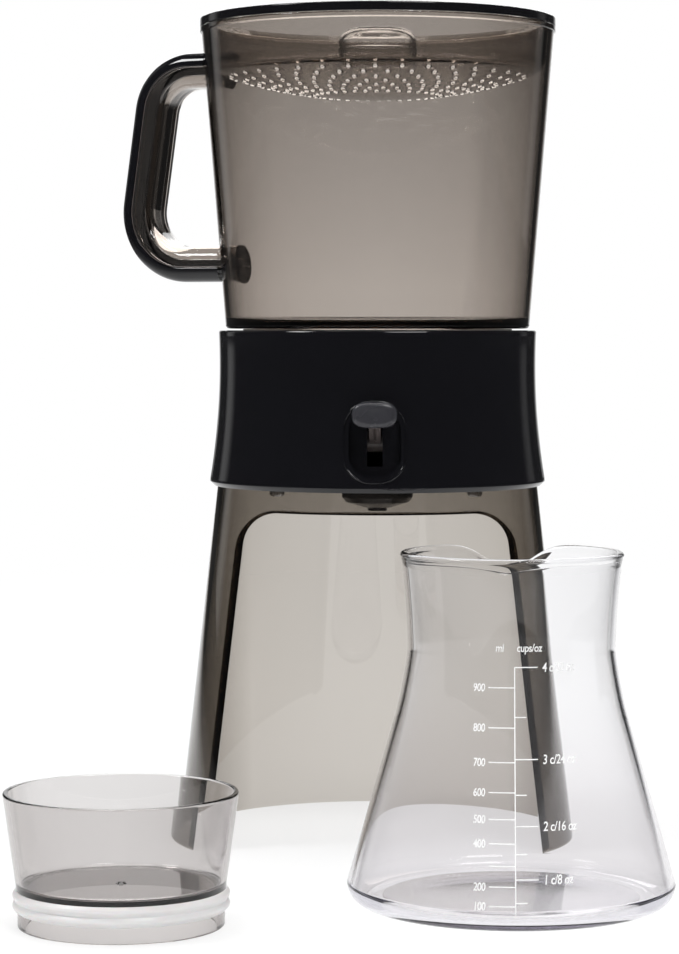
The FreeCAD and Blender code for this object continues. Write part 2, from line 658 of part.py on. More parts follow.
def brewing_container():
    """Tapered jug with a well for the filter and a drain in the well's floor."""
    bead_bottom = BODY_TOP - RIM_BEAD_HEIGHT
    bead_radius = BODY_TOP_RADIUS + RIM_BEAD_PROUD
    well_outer = WELL_RADIUS + WELL_WALL
    outline = [(SEAT_HOLE, DRAIN_BOTTOM), (DRAIN_RADIUS, DRAIN_BOTTOM, 0.8),
               (DRAIN_RADIUS, WELL_BOTTOM), (well_outer, WELL_BOTTOM, 1.0), (well_outer, BODY_BOTTOM),
               (BODY_FOOT_RADIUS, BODY_BOTTOM, BODY_FOOT_ROUND),
               (body_radius(bead_bottom), bead_bottom), (bead_radius, bead_bottom),
               (bead_radius, BODY_TOP), (BODY_TOP_RADIUS - BODY_WALL, BODY_TOP),
               (body_radius(BODY_FLOOR) - BODY_WALL, BODY_FLOOR, BODY_FLOOR_ROUND),
               (WELL_RADIUS, BODY_FLOOR), (WELL_RADIUS, WELL_FLOOR), (DRAIN_BORE, WELL_FLOOR),
               (DRAIN_BORE, SEAT_Z), (SEAT_HOLE, SEAT_Z)]
    return turned(outline)


def body_cone():
    """The container's outer taper as one full solid, a little past both ends."""
    low, high = BODY_BOTTOM - 20, BODY_TOP + 20
    return turned([(0, low), (body_radius(low), low), (body_radius(high), high), (0, high)])


def handle_plane(reach, z, aside=0.0):
    """Point of the handle's upright plane: reach out from the axis, height, and aside of the plane."""
    turn = math.radians(180 - HANDLE_ANGLE)
    return V(reach * math.cos(turn) - aside * math.sin(turn),
             reach * math.sin(turn) + aside * math.cos(turn), z)


def handle_bend(bend, reach, z, turn):
    """Radius of one corner of the handle, within the arm that stands clear of the container."""
    arm = reach - body_radius(z) - SPINE_SHORT
    return min(bend, BEND_SHARE * arm / math.tan(turn / 2))


def handle_path(start_reach, end_reach):
    """Centre line of the handle, from near the rim out, down the grip and back in."""
    lean = math.atan2(HANDLE_FOOT_REACH - HANDLE_TOP_REACH, HANDLE_SPAN)
    top_bend = handle_bend(HANDLE_TOP_BEND, HANDLE_TOP_REACH, HANDLE_TOP_Z, math.pi / 2 - lean)
    foot_bend = handle_bend(HANDLE_FOOT_BEND, HANDLE_FOOT_REACH, HANDLE_FOOT_Z, math.pi / 2 + lean)
    corners = [(start_reach, HANDLE_TOP_Z), (HANDLE_TOP_REACH, HANDLE_TOP_Z, top_bend),
               (HANDLE_FOOT_REACH, HANDLE_FOOT_Z, foot_bend), (end_reach, HANDLE_FOOT_Z)]
    edges = rounded_edges(corners, lambda p: handle_plane(p.x, p.y))
    return Part.Wire(edges[:-1])


def handle_sweep(section, start_reach, end_reach):
    """Solid of a section carried along the handle. Its points are (outwards from the line, aside)."""
    wire = Part.Wire(rounded_edges(
        section, lambda p: handle_plane(start_reach, HANDLE_TOP_Z + p.x, p.y)))
    return handle_path(start_reach, end_reach).makePipeShell([wire], True, False)


def spine_section():
    """Black spine: a curved back, and a tongue that keys it into the bar."""
    out = HANDLE_THICK / 2
    step = out - SPINE_THICK
    half_w, half_t = HANDLE_WIDTH / 2, SPINE_TONGUE_WIDE / 2
    deep = step - SPINE_TONGUE_DEEP
    return [(out, -half_w, HANDLE_BACK_ROUND), (out, half_w, HANDLE_BACK_ROUND), (step, half_w),
            (step, half_t), (deep, half_t), (deep, -half_t), (step, -half_t), (step, -half_w)]


def handle_spine():
    start = body_radius(HANDLE_TOP_Z) + SPINE_SHORT
    end = body_radius(HANDLE_FOOT_Z) + SPINE_SHORT
    return handle_sweep(spine_section(), start, end)


def handle_bar():
    """Clear bar of the handle, welded to the container at both ends and grooved for the spine."""
    out, half_w = HANDLE_THICK / 2, HANDLE_WIDTH / 2
    section = [(out, -half_w, HANDLE_BACK_ROUND), (out, half_w, HANDLE_BACK_ROUND),
               (-out, half_w, HANDLE_ROUND), (-out, -half_w, HANDLE_ROUND)]
    inside = body_radius(HANDLE_FOOT_Z) - HANDLE_THICK
    full = handle_sweep(section, inside, inside)
    return full.cut([body_cone(), handle_spine()]).removeSplitter()


def valve_cage():
    """Ring on four arms in the drain's bore, which holds the spring down and guides the valve."""
    inner = DRAIN_BORE - CAGE_RING
    top = CAGE_Z + CAGE_THICK
    ring = turned([(inner, CAGE_Z), (DRAIN_BORE, CAGE_Z), (DRAIN_BORE, top), (inner, top)])
    hub = post(POPPET_STEM + PIN_GAP + CAGE_RING, CAGE_Z, top)
    arms = []
    for _, _, angle in on_circle(1, CAGE_ARMS):
        arm = block(0, DRAIN_BORE - CAGE_RING / 2, -CAGE_ARM_WIDTH / 2, CAGE_ARM_WIDTH / 2, CAGE_Z, top)
        arm.rotate(V(0, 0, 0), UP, angle)
        arms.append(arm)
    bore = post(POPPET_STEM + PIN_GAP, CAGE_Z - 1, top + 1)
    return ring.fuse([hub] + arms).cut(bore).removeSplitter()


def valve_spring():
    """Coil between the valve's head and the cage, lofted through many-sided sections of its wire."""
    bottom = SEAT_Z + POPPET_THICK + SEAT_GAP
    length = CAGE_Z - bottom - 2 * SPRING_WIRE
    start = bottom + SPRING_WIRE
    climb = math.atan2(length / SPRING_TURNS, 2 * math.pi * SPRING_RADIUS)
    sections = []
    for share in range(SPRING_STEPS + 1):
        turn = 2 * math.pi * SPRING_TURNS * share / SPRING_STEPS
        outward = V(math.cos(turn), math.sin(turn), 0)
        upward = V(math.sin(turn) * math.sin(climb), -math.cos(turn) * math.sin(climb), math.cos(climb))
        middle = outward * SPRING_RADIUS + V(0, 0, start + length * share / SPRING_STEPS)
        ring = []
        for _, _, angle in on_circle(1, SPRING_SIDES):
            lean = math.radians(angle)
            ring.append(middle + (outward * math.cos(lean) + upward * math.sin(lean)) * SPRING_WIRE)
        sections.append(Part.makePolygon(ring + ring[:1]))
    return Part.makeLoft(sections, True, True)


def drain_poppet():
    """Soft-headed valve that closes the drain by its own weight and the spring."""
    top = SEAT_Z + POPPET_THICK + SEAT_GAP
    head = SEAT_Z + SEAT_GAP
    stem_top = CAGE_Z + POPPET_IN_CAGE
    return turned([(0, POPPET_TIP), (POPPET_STEM, POPPET_TIP, 0.5), (POPPET_STEM, head),
                   (POPPET_RADIUS, head), (POPPET_RADIUS, top, 0.8), (POPPET_STEM, top),
                   (POPPET_STEM, stem_top, 0.5), (0, stem_top)])


# ---------------------------------------------------------------- filter

FILTER_FOOT = WELL_FLOOR + SEAT_GAP
FILTER_OUTER = WELL_RADIUS - SLIDE_GAP - FILTER_SEAL_THICK


def filter_mesh():
    """Fine mesh disc, held in the frame's ring."""
    bottom = FILTER_FOOT + FILTER_MESH_Z
    radius = FILTER_OUTER - FILTER_RING_WIDE + FILTER_LAP
    return post(radius, bottom, bottom + FILTER_MESH_THICK)


def filter_frame():
    """Ring with a hub and spokes under the mesh."""
    inner = FILTER_OUTER - FILTER_RING_WIDE
    top = FILTER_FOOT + FILTER_HEIGHT
    mesh_bottom = FILTER_FOOT + FILTER_MESH_Z
    ring = turned([(inner, FILTER_FOOT), (FILTER_OUTER, FILTER_FOOT), (FILTER_OUTER, top, 1.0),
                   (inner, top, 1.0)])
    hub = post(FILTER_HUB, FILTER_FOOT, mesh_bottom)
    spokes = []
    for _, _, angle in on_circle(1, FILTER_SPOKES):
        spoke = block(0, inner + 1, -FILTER_SPOKE_WIDE / 2, FILTER_SPOKE_WIDE / 2, FILTER_FOOT,
                      mesh_bottom)
        spoke.rotate(V(0, 0, 0), UP, angle)
        spokes.append(spoke)
    drain = post(POPPET_STEM + 2, FILTER_FOOT - 1, mesh_bottom + 1)
    return ring.fuse([hub] + spokes).cut([filter_mesh(), drain]).removeSplitter()


def filter_seal():
    """Soft ring round the filter frame."""
    middle = FILTER_FOOT + FILTER_HEIGHT / 2
    half = FILTER_SEAL_TALL / 2
    lip = FILTER_OUTER + FILTER_SEAL_THICK
    return turned([(FILTER_OUTER, middle - half), (lip - 0.5, middle - half), (lip, middle, "via"),
                   (lip - 0.5, middle + half), (FILTER_OUTER, middle + half)])


# ---------------------------------------------------------------- shower lid

def lid_rim():
    """Ring with a bevelled inside that rests on the container's rim."""
    inner = skirt_radius(LID_BOTTOM) - LID_WALL
    return turned([(inner, LID_BOTTOM), (LID_RIM_RADIUS, LID_BOTTOM),
                   (LID_RIM_RADIUS, LID_TOP, LID_RIM_EDGE),
                   (LID_RIM_RADIUS - LID_RIM_FLAT, LID_TOP, LID_RIM_EDGE / 2),
                   (inner, LID_BOTTOM + LID_RIM_STEP)])


def lid_skirt():
    """Tapered wall of the lid's dish."""
    bottom = LID_BOTTOM - LID_DEPTH
    return turned([(skirt_radius(bottom) - LID_WALL, bottom), (skirt_radius(bottom), bottom, 0.8),
                   (skirt_radius(LID_BOTTOM), LID_BOTTOM),
                   (skirt_radius(LID_BOTTOM) - LID_WALL, LID_BOTTOM)])


def dish_edge(middle_z, sphere):
    """Radius at which a dished surface meets the inside of the lid's skirt."""
    radius = LID_RIM_RADIUS
    for _ in range(30):
        radius = skirt_radius(middle_z + plate_drop(radius, sphere)) - LID_WALL
    return radius


def dished_face(middle_z, sphere, inner, outer):
    """Outline points along a dished surface from one radius to another."""
    return [(inner, middle_z + plate_drop(inner, sphere)),
            ((inner + outer) / 2, middle_z + plate_drop((inner + outer) / 2, sphere), "via"),
            (outer, middle_z + plate_drop(outer, sphere))]


def shower_plate():
    """Dished plate with rings of holes, each ring turned half a step from the last."""
    low, high = PLATE_MIDDLE_Z, PLATE_MIDDLE_Z + PLATE_THICK
    under = dished_face(low, PLATE_SPHERE, 0, dish_edge(low, PLATE_SPHERE))
    over = dished_face(high, PLATE_TOP_SPHERE, 0, dish_edge(high, PLATE_TOP_SPHERE))
    plate = turned(under + over[::-1])
    start = low - PLATE_THICK
    tall = over[-1][1] + PLATE_THICK - start
    cutters = []
    for ring in range(HOLE_RINGS):
        radius = HOLE_RING_RADIUS - HOLE_RING_STEP * ring
        first = 180.0 / HOLES_PER_RING * (ring % 2)
        for x, y, angle in on_circle(radius, HOLES_PER_RING, first):
            corners = [V(x + a, y + b, start)
                       for a, b, _ in on_circle(HOLE_RADIUS, 6, angle)]
            side = Part.Face(Part.makePolygon(corners + corners[:1]))
            cutters.append(side.extrude(V(0, 0, tall)))
    return plate.cut(cutters)


def lid_knob():
    """Hollow round cap welded on the middle of the plate, to lift the lid by."""
    inner = KNOB_RADIUS - KNOB_WALL
    foot = dished_face(PLATE_MIDDLE_Z + PLATE_THICK, PLATE_TOP_SPHERE, inner, KNOB_RADIUS)
    return turned(foot + [(KNOB_RADIUS, KNOB_LINE_Z - KNOB_LINE_DEEP),
                          (KNOB_RADIUS - KNOB_LINE_DEEP, KNOB_LINE_Z),
                          (KNOB_RADIUS, KNOB_LINE_Z + KNOB_LINE_DEEP),
                          (KNOB_RADIUS, KNOB_TOP, KNOB_ROUND), (0, KNOB_TOP), (0, KNOB_TOP - KNOB_WALL),
                          (inner, KNOB_TOP - KNOB_WALL, KNOB_ROUND - KNOB_WALL)])


# ---------------------------------------------------------------- carafe

def carafe_side(inset, floor):
    """Outline points up the carafe's side, from a floor's height to the rim, drawn in by inset."""
    waist = (CARAFE_WAIST_RADIUS - inset, CARAFE_WAIST_Z)
    shoulder = (CARAFE_SHOULDER_RADIUS - inset, CARAFE_SHOULDER_Z)
    belly = (CARAFE_BELLY_RADIUS - inset, CARAFE_BELLY_Z)
    rim = (CARAFE_RIM_RADIUS - inset, CARAFE_HEIGHT)
    foot = (CARAFE_FOOT_RADIUS - inset, floor)
    curve_in = ((shoulder[0] * 0.36 + waist[0] * 0.64), (shoulder[1] + waist[1]) / 2 + 1.2, "via")
    round_foot = (foot[0] + 0.76 * (belly[0] - foot[0]), foot[1] + 0.32 * (belly[1] - foot[1]), "via")
    neck = (waist[0] + 0.33 * (rim[0] - waist[0]), (waist[1] + rim[1]) / 2, "via")
    return [foot, round_foot, belly, shoulder, curve_in, waist, neck, rim]


def carafe_glass():
    """Waisted glass flask with a dip in its back rim to pour from."""
    outer = carafe_side(0, 0)
    inner = carafe_side(CARAFE_WALL, CARAFE_BASE)
    outline = [(0, 0)] + outer + inner[::-1] + [(0, CARAFE_BASE)]
    glass = turned(outline, CARAFE_X, CARAFE_Y)
    radius = ((LIP_WIDTH / 2) ** 2 + LIP_DROP ** 2) / (2 * LIP_DROP)
    centre_z = CARAFE_HEIGHT - LIP_DROP + radius
    dip = Part.makeCylinder(radius, CARAFE_RIM_RADIUS + 5, V(CARAFE_X, CARAFE_Y, centre_z), V(0, 1, 0))
    return glass.cut(dip)


# ---------------------------------------------------------------- stopper cup

def stopper_cup():
    """Flared cup on a short skirt, grooved for the seal."""
    floor = CUP_FLOOR_Z - CUP_FLOOR_THICK
    groove = CUP_SKIRT_RADIUS - SEAL_SUNK
    seal_top = SEAL_BOTTOM + SEAL_HEIGHT
    skirt_inner = groove - CUP_WALL
    outline = [(skirt_inner, 0), (CUP_SKIRT_RADIUS, 0, 0.8), (CUP_SKIRT_RADIUS, SEAL_BOTTOM),
               (groove, SEAL_BOTTOM), (groove, seal_top), (CUP_FLARE_RADIUS, seal_top),
               (CUP_FLARE_RADIUS, CUP_FLOOR_Z),
               (CUP_RIM_RADIUS, CUP_HEIGHT, 0.6), (CUP_RIM_RADIUS - CUP_WALL, CUP_HEIGHT, 0.6),
               (CUP_FLARE_RADIUS - CUP_WALL, CUP_FLOOR_Z, 2.0), (GATE_RADIUS, CUP_FLOOR_Z),
               (GATE_RADIUS * 0.6, CUP_FLOOR_Z + GATE_HEIGHT), (0, CUP_FLOOR_Z + GATE_HEIGHT),
               (0, floor), (skirt_inner, floor)]
    return turned(outline, CUP_X, CUP_Y)


def stopper_seal():
    """White silicone band with two ribs."""
    inner = CUP_SKIRT_RADIUS - SEAL_SUNK
    band = CUP_SKIRT_RADIUS + SEAL_BAND
    top = SEAL_BOTTOM + SEAL_HEIGHT
    rib = SEAL_HEIGHT / 2
    middle = SEAL_BOTTOM + rib
    return turned([(inner, SEAL_BOTTOM), (band, SEAL_BOTTOM), (band + SEAL_RIB, SEAL_BOTTOM + rib / 2, "via"),
                   (band, middle), (band + SEAL_RIB, middle + rib / 2, "via"), (band, top), (inner, top)],
                  CUP_X, CUP_Y)


NODES = {
    "stand_shell": stand_shell,
    "collar_shell": collar_shell,
    "chassis": chassis,
    "collar_screws": collar_screws,
    "switch_surround": switch_surround,
    "pivot_pin": pivot_pin,
    "switch_lever": switch_lever,
    "switch_paddle": switch_paddle,
    "drain_funnel": drain_funnel,
    "lift_bar_guide": lift_bar_guide,
    "lift_bar": lift_bar,
    "seat_gasket": seat_gasket,
    "brewing_container": brewing_container,
    "handle_bar": handle_bar,
    "handle_spine": handle_spine,
    "valve_cage": valve_cage,
    "valve_spring": valve_spring,
    "drain_poppet": drain_poppet,
    "filter_mesh": filter_mesh,
    "filter_frame": filter_frame,
    "filter_seal": filter_seal,
    "lid_rim": lid_rim,
    "lid_skirt": lid_skirt,
    "shower_plate": shower_plate,
    "lid_knob": lid_knob,
    "carafe_glass": carafe_glass,
    "stopper_cup": stopper_cup,
    "stopper_seal": stopper_seal,
}


def main():
    os.makedirs("parts", exist_ok=True)
    for name, make in NODES.items():
        shape = make()
        solids = shape.Solids
        faults = [s for s in solids if not s.isValid() or s.Volume <= 0]
        print(f"{name}: {len(solids)} solid(s), {sum(s.Volume for s in solids) / 1000:.2f} cm3"
              f"{', FAULTY' if faults or not solids else ''}")
        shape.exportStep(f"parts/{name}.step")


main()
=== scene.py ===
# %% [markdown]
# # A cold brew coffee maker
#
# The brewer is three smoky plastic shells held together by a black collar: a container with
# a handle and a shower lid on top, and a stand with an open front below. A clear glass carafe
# and its stopper cup stand in front. Each cell says what a piece is, works its surface out
# with numpy and gives it a finish.

# %% Load the solids
import math

import bmesh
import bpy
import numpy as np
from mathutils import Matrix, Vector


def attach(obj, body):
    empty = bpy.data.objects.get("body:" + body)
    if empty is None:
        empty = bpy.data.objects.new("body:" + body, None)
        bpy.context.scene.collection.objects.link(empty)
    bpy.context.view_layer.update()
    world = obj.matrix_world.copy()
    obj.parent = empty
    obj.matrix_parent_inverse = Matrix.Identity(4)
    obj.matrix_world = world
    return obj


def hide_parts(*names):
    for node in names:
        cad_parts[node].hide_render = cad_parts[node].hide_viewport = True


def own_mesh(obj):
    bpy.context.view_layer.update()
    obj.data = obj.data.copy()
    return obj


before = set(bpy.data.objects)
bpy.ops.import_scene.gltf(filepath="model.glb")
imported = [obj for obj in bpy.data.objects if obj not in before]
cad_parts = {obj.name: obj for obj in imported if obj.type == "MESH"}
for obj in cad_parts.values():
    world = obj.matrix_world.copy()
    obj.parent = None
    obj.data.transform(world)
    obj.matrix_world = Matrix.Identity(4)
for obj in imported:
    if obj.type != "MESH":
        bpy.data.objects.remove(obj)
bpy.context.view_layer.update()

# %% [markdown]
# ## Two tools for shapes
#
# Nearly every piece here was moulded or blown round an upright axis. So the first tool turns
# a short list of corners into a smooth outline, and the second carries an outline round the
# axis. An outline could also be a Bezier curve with a Screw modifier, but an array of points
# keeps every radius in sight and gives evenly spaced faces, which glass needs.

# %% Outline tool
HOLD = 0.35  # mm; a short face beside each rounded corner keeps long walls flat in the shading


def unit(v):
    """The same direction with a length of 1."""
    return v / np.linalg.norm(v)


def arc_through(a, b, c, steps):
    """Points from a to c on the circle through a, b and c: the centre solves two equal-distance equations."""
    a, b, c = (np.asarray(p, float) for p in (a, b, c))
    rows = 2 * np.array([b - a, c - a])
    centre = np.linalg.solve(rows, [b @ b - a @ a, c @ c - a @ a])
    angle = [math.atan2(*(p - centre)[::-1]) for p in (a, b, c)]
    sweep = (angle[2] - angle[0]) % (2 * math.pi)
    if (angle[1] - angle[0]) % (2 * math.pi) > sweep:
        sweep -= 2 * math.pi
    t = angle[0] + sweep * np.linspace(0, 1, steps + 1)
    return centre + np.linalg.norm(a - centre) * np.stack([np.cos(t), np.sin(t)], -1)


def outline(corners, closed=True, steps=8):
    """Smooth outline from corners: (u, v), (u, v, radius) for a rounded one, (u, v, "via") on an arc."""
    solid, bends, turns = [], {}, []
    for p in corners:
        if p[2:] == ("via",):
            bends[len(solid) - 1] = p[:2]
        else:
            solid.append(p)
    count = len(solid)
    for i, p in enumerate(solid):
        here = np.array(p[:2], float)
        if len(p) == 2:
            turns.append(here[None])
            continue
        back = unit(np.array(solid[i - 1][:2]) - here)
        ahead = unit(np.array(solid[(i + 1) % count][:2]) - here)
        half = math.acos(np.clip(back @ ahead, -1, 1)) / 2
        reach, bulge = p[2] / math.tan(half), p[2] / math.sin(half) - p[2]
        turns.append(arc_through(here + back * reach, here + unit(back + ahead) * bulge,
                                 here + ahead * reach, steps))
    made = []
    for i in range(count if closed else count - 1):
        start, end = turns[i][-1], turns[(i + 1) % count][0]
        made.append(turns[i])
        if i in bends:
            made.append(arc_through(start, bends[i], end, 30)[1:-1])
        elif (length := np.linalg.norm(end - start)) > 4 * HOLD:
            step = unit(end - start) * HOLD
            made.append(np.linspace(start + step, end - step, max(2, int(length / 12))))
    if not closed:
        made.append(turns[-1])
    return np.concatenate(made)


def evenly(line, count, closed=False):
    """The same line with evenly spaced points: each is found by its share of the whole length."""
    line = np.concatenate([line, line[:1]]) if closed else line
    run = np.concatenate([[0], np.cumsum(np.linalg.norm(np.diff(line, axis=0), axis=1))])
    t = np.linspace(0, run[-1], count, endpoint=not closed)
    return np.stack([np.interp(t, run, line[:, i]) for i in (0, 1)], -1)


print("outline of a rounded square:", outline([(0, 0, 1), (9, 0, 1), (9, 9, 1), (0, 9, 1)]).shape)

# %% Surface tools
scene = bpy.context.scene
MM = 0.001
UPWARD = np.array([0, 0, 1])


def circle(steps):
    """Angles once round, evenly spaced."""
    return np.linspace(0, 2 * np.pi, steps, endpoint=False)


def polar(r, angle, z, x=0.0, y=0.0):
    """Points (x + r cos a, y + r sin a, z), at a radius and angle round an upright axis."""
    return np.stack([x + r * np.cos(angle), y + r * np.sin(angle), z + 0 * angle], -1)


def at_front(x, r, z):
    """Point at width x and height z on the front of a round wall: y is minus the root of r r - x x."""
    return np.stack([x, -np.sqrt(np.maximum(r ** 2 - x ** 2, 0)), z], -1)


def turned(profile, steps, x=0.0, y=0.0):
    """Closed surface from an outline of (radius, height) turned round the upright axis at (x, y)."""
    return polar(profile[:, :1], circle(steps), profile[:, 1:], x, y), True, True


def quads_of(shape, close_u, close_v, first):
    """Corner numbers of the quads of a grid of points, in rows u and columns v."""
    nu, nv = shape[:2]
    u = np.arange(nu if close_u else nu - 1)[:, None]
    v = np.arange(nv if close_v else nv - 1)[None]
    u2, v2 = (u + 1) % nu, (v + 1) % nv
    quads = np.stack([u * nv + v, u * nv + v2, u2 * nv + v2, u2 * nv + v], -1)
    return quads.reshape(-1, 4) + first


def new_object(name, data):
    """Object linked to the scene."""
    made = bpy.data.objects.new(name, data)
    scene.collection.objects.link(made)
    return made


def dress(made, finish):
    """Give an object one finish in all its material slots."""
    made.data.materials.clear()
    made.data.materials.append(finish)


def piece(name, body, sheets, finish, stands_for=(), sharp=32.0, weld=2e-6):
    """One dressed object from sheets of points in mm. A sheet is (grid, closed in u, closed in v)."""
    points, quads, first = [], [], 0
    for grid, close_u, close_v in sheets:
        points.append(grid.reshape(-1, 3) * MM)
        quads.append(quads_of(grid.shape, close_u, close_v, first))
        first += len(points[-1])
    mesh = bpy.data.meshes.new(name)
    mesh.from_pydata(np.concatenate(points), [], np.concatenate(quads))
    work = bmesh.new()
    work.from_mesh(mesh)
    bmesh.ops.remove_doubles(work, verts=work.verts, dist=weld)
    bmesh.ops.dissolve_degenerate(work, dist=weld / 2, edges=work.edges)
    bmesh.ops.recalc_face_normals(work, faces=work.faces)
    work.to_mesh(mesh)
    open_edges = sum(1 for e in work.edges if not e.is_manifold)
    work.free()
    mesh.polygons.foreach_set("use_smooth", np.ones(len(mesh.polygons), bool))
    mesh.set_sharp_from_angle(angle=math.radians(sharp))
    made = new_object(name, mesh)
    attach(made, body)
    if stands_for:
        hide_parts(*stands_for)
    dress(made, finish)
    print(f"{name}: {len(mesh.polygons)} faces, {open_edges} open edges")
    return made


# %% [markdown]
# ## A small language for finishes
#
# A finish is a graph of shader nodes. Wiring it by hand takes many lines, so this class wraps
# one output socket: plus, minus and times on it make Math nodes, and `node` makes any other.
# All patterns read Object coordinates, so they are fixed to the piece and turn with it.

# %% Shader maths
class Wire:
    """An output socket in a node tree, with arithmetic."""

    def __init__(self, tree, socket):
        self.tree, self.socket = tree, socket

    def node(self, kind, inputs=(), out=0, **settings):
        """Any shader node: its inputs by name or number, its settings, and the wire of one output."""
        made = self.tree.nodes.new("ShaderNode" + kind)
        for key, value in settings.items():
            setattr(made, key, value)
        for key, value in dict(inputs).items():
            if isinstance(value, Wire):
                self.tree.links.new(value.socket, made.inputs[key])
            else:
                made.inputs[key].default_value = value
        return Wire(self.tree, made.outputs[out])

    def maths(self, operation, *others):
        return self.node("Math", dict(enumerate((self,) + others)), operation=operation)

    def vector_maths(self, operation, *others, out="Vector"):
        return self.node("VectorMath", dict(enumerate((self,) + others)), out, operation=operation)

    def axis(self, number):
        """One coordinate of a position: 0, 1 or 2."""
        return self.node("SeparateXYZ", {0: self}, number)

    def rays(self, *kinds):
        """Masks that are 1 for rays of each named kind, such as Camera."""
        path = self.tree.nodes.new("ShaderNodeLightPath")
        return [Wire(self.tree, path.outputs[f"Is {kind} Ray"]) for kind in kinds]

    def into(self, output, name="Surface"):
        """Join this wire to an input of the output node."""
        self.tree.links.new(self.socket, output.inputs[name])

    def __add__(self, other):
        return self.maths("ADD", other)

    def __mul__(self, other):
        return self.maths("MULTIPLY", other)

    def __sub__(self, other):
        return self.maths("SUBTRACT", other)

    def __rsub__(self, other):
        return self.node("Math", {0: other, 1: self}, operation="SUBTRACT")

    def __or__(self, other):
        """The larger of two values, which for masks means either."""
        return self.maths("MAXIMUM", other)

    def fit(self, low, high, to_low, to_high):
        """Straight-line change of range, held at both ends."""
        return self.node("MapRange", {0: self, 1: low, 2: high, 3: to_low, 4: to_high})

    def noise(self, scale, detail, roughness=0.5):
        """Cloudy pattern from 0 to 1, with features about 1 / scale metres across."""
        return self.node("TexNoise", {"Vector": self, "Scale": scale, "Detail": detail,
                                      "Roughness": roughness})

    def ramp(self, dark, light):
        """Colour between two, by this wire's value."""
        return self.node("Mix", {0: self, 6: (*dark, 1), 7: (*light, 1)}, 2, data_type="RGBA")

    def bump(self, height_mm, strength=1.0):
        """Normal that follows this wire's value as a height."""
        return self.node("Bump", {"Height": self, "Distance": height_mm * MM, "Strength": strength})


def finish_called(name):
    """Empty material, its output node, and a wire of Object coordinates."""
    made = bpy.data.materials.new(name)
    made.use_nodes = True
    tree = made.node_tree
    tree.nodes.clear()
    output = tree.nodes.new("ShaderNodeOutputMaterial")
    return made, output, Wire(tree, tree.nodes.new("ShaderNodeTexCoord").outputs["Object"])


def plain_finish(name, colour, rough, grain_scale, grain_mm, tone=0.12, sockets=()):
    """Opaque moulded or metal finish: clouded colour and roughness, and a fine grain as bump."""
    made, output, place = finish_called(name)
    cloud = place.noise(38.0, 4.0)
    dark = [c * (1 - tone) for c in colour]
    light = [min(1.0, c * (1 + tone)) for c in colour]
    shader = place.node("BsdfPrincipled", {
        "Base Color": cloud.ramp(dark, light), "Roughness": cloud.fit(0.3, 0.7, *rough),
        "Normal": place.noise(grain_scale, 4.0, 0.6).bump(grain_mm, 0.6), **dict(sockets)})
    shader.into(output)
    return made


print("finish tools ready")

# %% [markdown]
# ## See-through finishes
#
# Clear plastic and glass bend light at their faces and swallow a little of it on the way
# through the wall. A Glass shader alone would only tint the faces; with an absorbing volume
# a wall seen along its length turns nearly black, as the edges of smoky plastic do. The
# bending faces would stop the lamps' light, so shadow rays see a tinted Transparent shader.

# %% See-through tool
WHITE = (1, 1, 1)


def clear_finish(name, tint, density, shade, ior=1.49, rough=0.004, wave_mm=0.05, wave_scale=9.0,
                 grime=0.03, painted_dark_rim=None, painted_shade_along=(2, 0.0, 1.0, WHITE), sides=None):
    """Solid clear material: tinted volume, bending faces, faint waviness, and a lamp-ray bypass.

    shade is the share of the lamps' light that passes.
    painted_dark_rim is a radius and a height in metres: outer faces beyond both are painted black, seen from
    outside only, a painted shade for a rim that looks dark edge-on.
    fade is an axis, two places along it in metres, and the faces' colour past the second place: a painted
    shade along the axis.
    sides is a middle x, the distances from it where a painted side shade starts and ends, and its colour.
    """
    made, output, place = finish_called(name)
    cloud = place.noise(16.0, 5.0)
    # Painted shade: the faces darken along one axis.
    axis, start, end, shaded_colour = painted_shade_along
    colour = (place.axis(axis).fit(start, end, 0.0, 1.0) + cloud * 0.02).ramp(WHITE, shaded_colour)
    # Painted shade: the faces darken towards both sides.
    if sides:
        middle, start, end, dim = sides
        aside = (place.axis(0) - middle).maths("ABSOLUTE").fit(start, end, 0.0, 1.0)
        colour = colour.vector_maths("MULTIPLY", aside.ramp(WHITE, dim))
    seen = place.node("BsdfPrincipled", {
        "Base Color": colour, "Transmission Weight": 1.0, "IOR": ior,
        "Roughness": cloud.fit(0.42, 0.72, rough, rough + grime),
        "Normal": place.noise(wave_scale, 1.5).bump(wave_mm, 0.35)})
    # Painted shade: the rim's outer faces look black from outside only.
    if painted_dark_rim:
        radius = place.vector_maths("MULTIPLY", (1, 1, 0)).vector_maths("LENGTH", out="Value")
        outside = radius.maths("GREATER_THAN", painted_dark_rim[0])
        above = place.axis(2).maths("GREATER_THAN", painted_dark_rim[1])
        entered = place.node("NewGeometry", out="Backfacing")
        polish = {"Base Color": (0.006, 0.006, 0.007, 1), "Roughness": 0.08}
        black = place.node("BsdfPrincipled", polish)
        seen = place.node("MixShader", {0: outside * above * (1 - entered), 1: seen, 2: black})
    bypass = place.node("BsdfTransparent", {"Color": (*shade, 1)})
    place.node("MixShader", {0: place.rays("Shadow")[0], 1: seen, 2: bypass}).into(output)
    inside = place.node("VolumeAbsorption", {"Color": (*tint, 1), "Density": density})
    inside.into(output, "Volume")
    return made


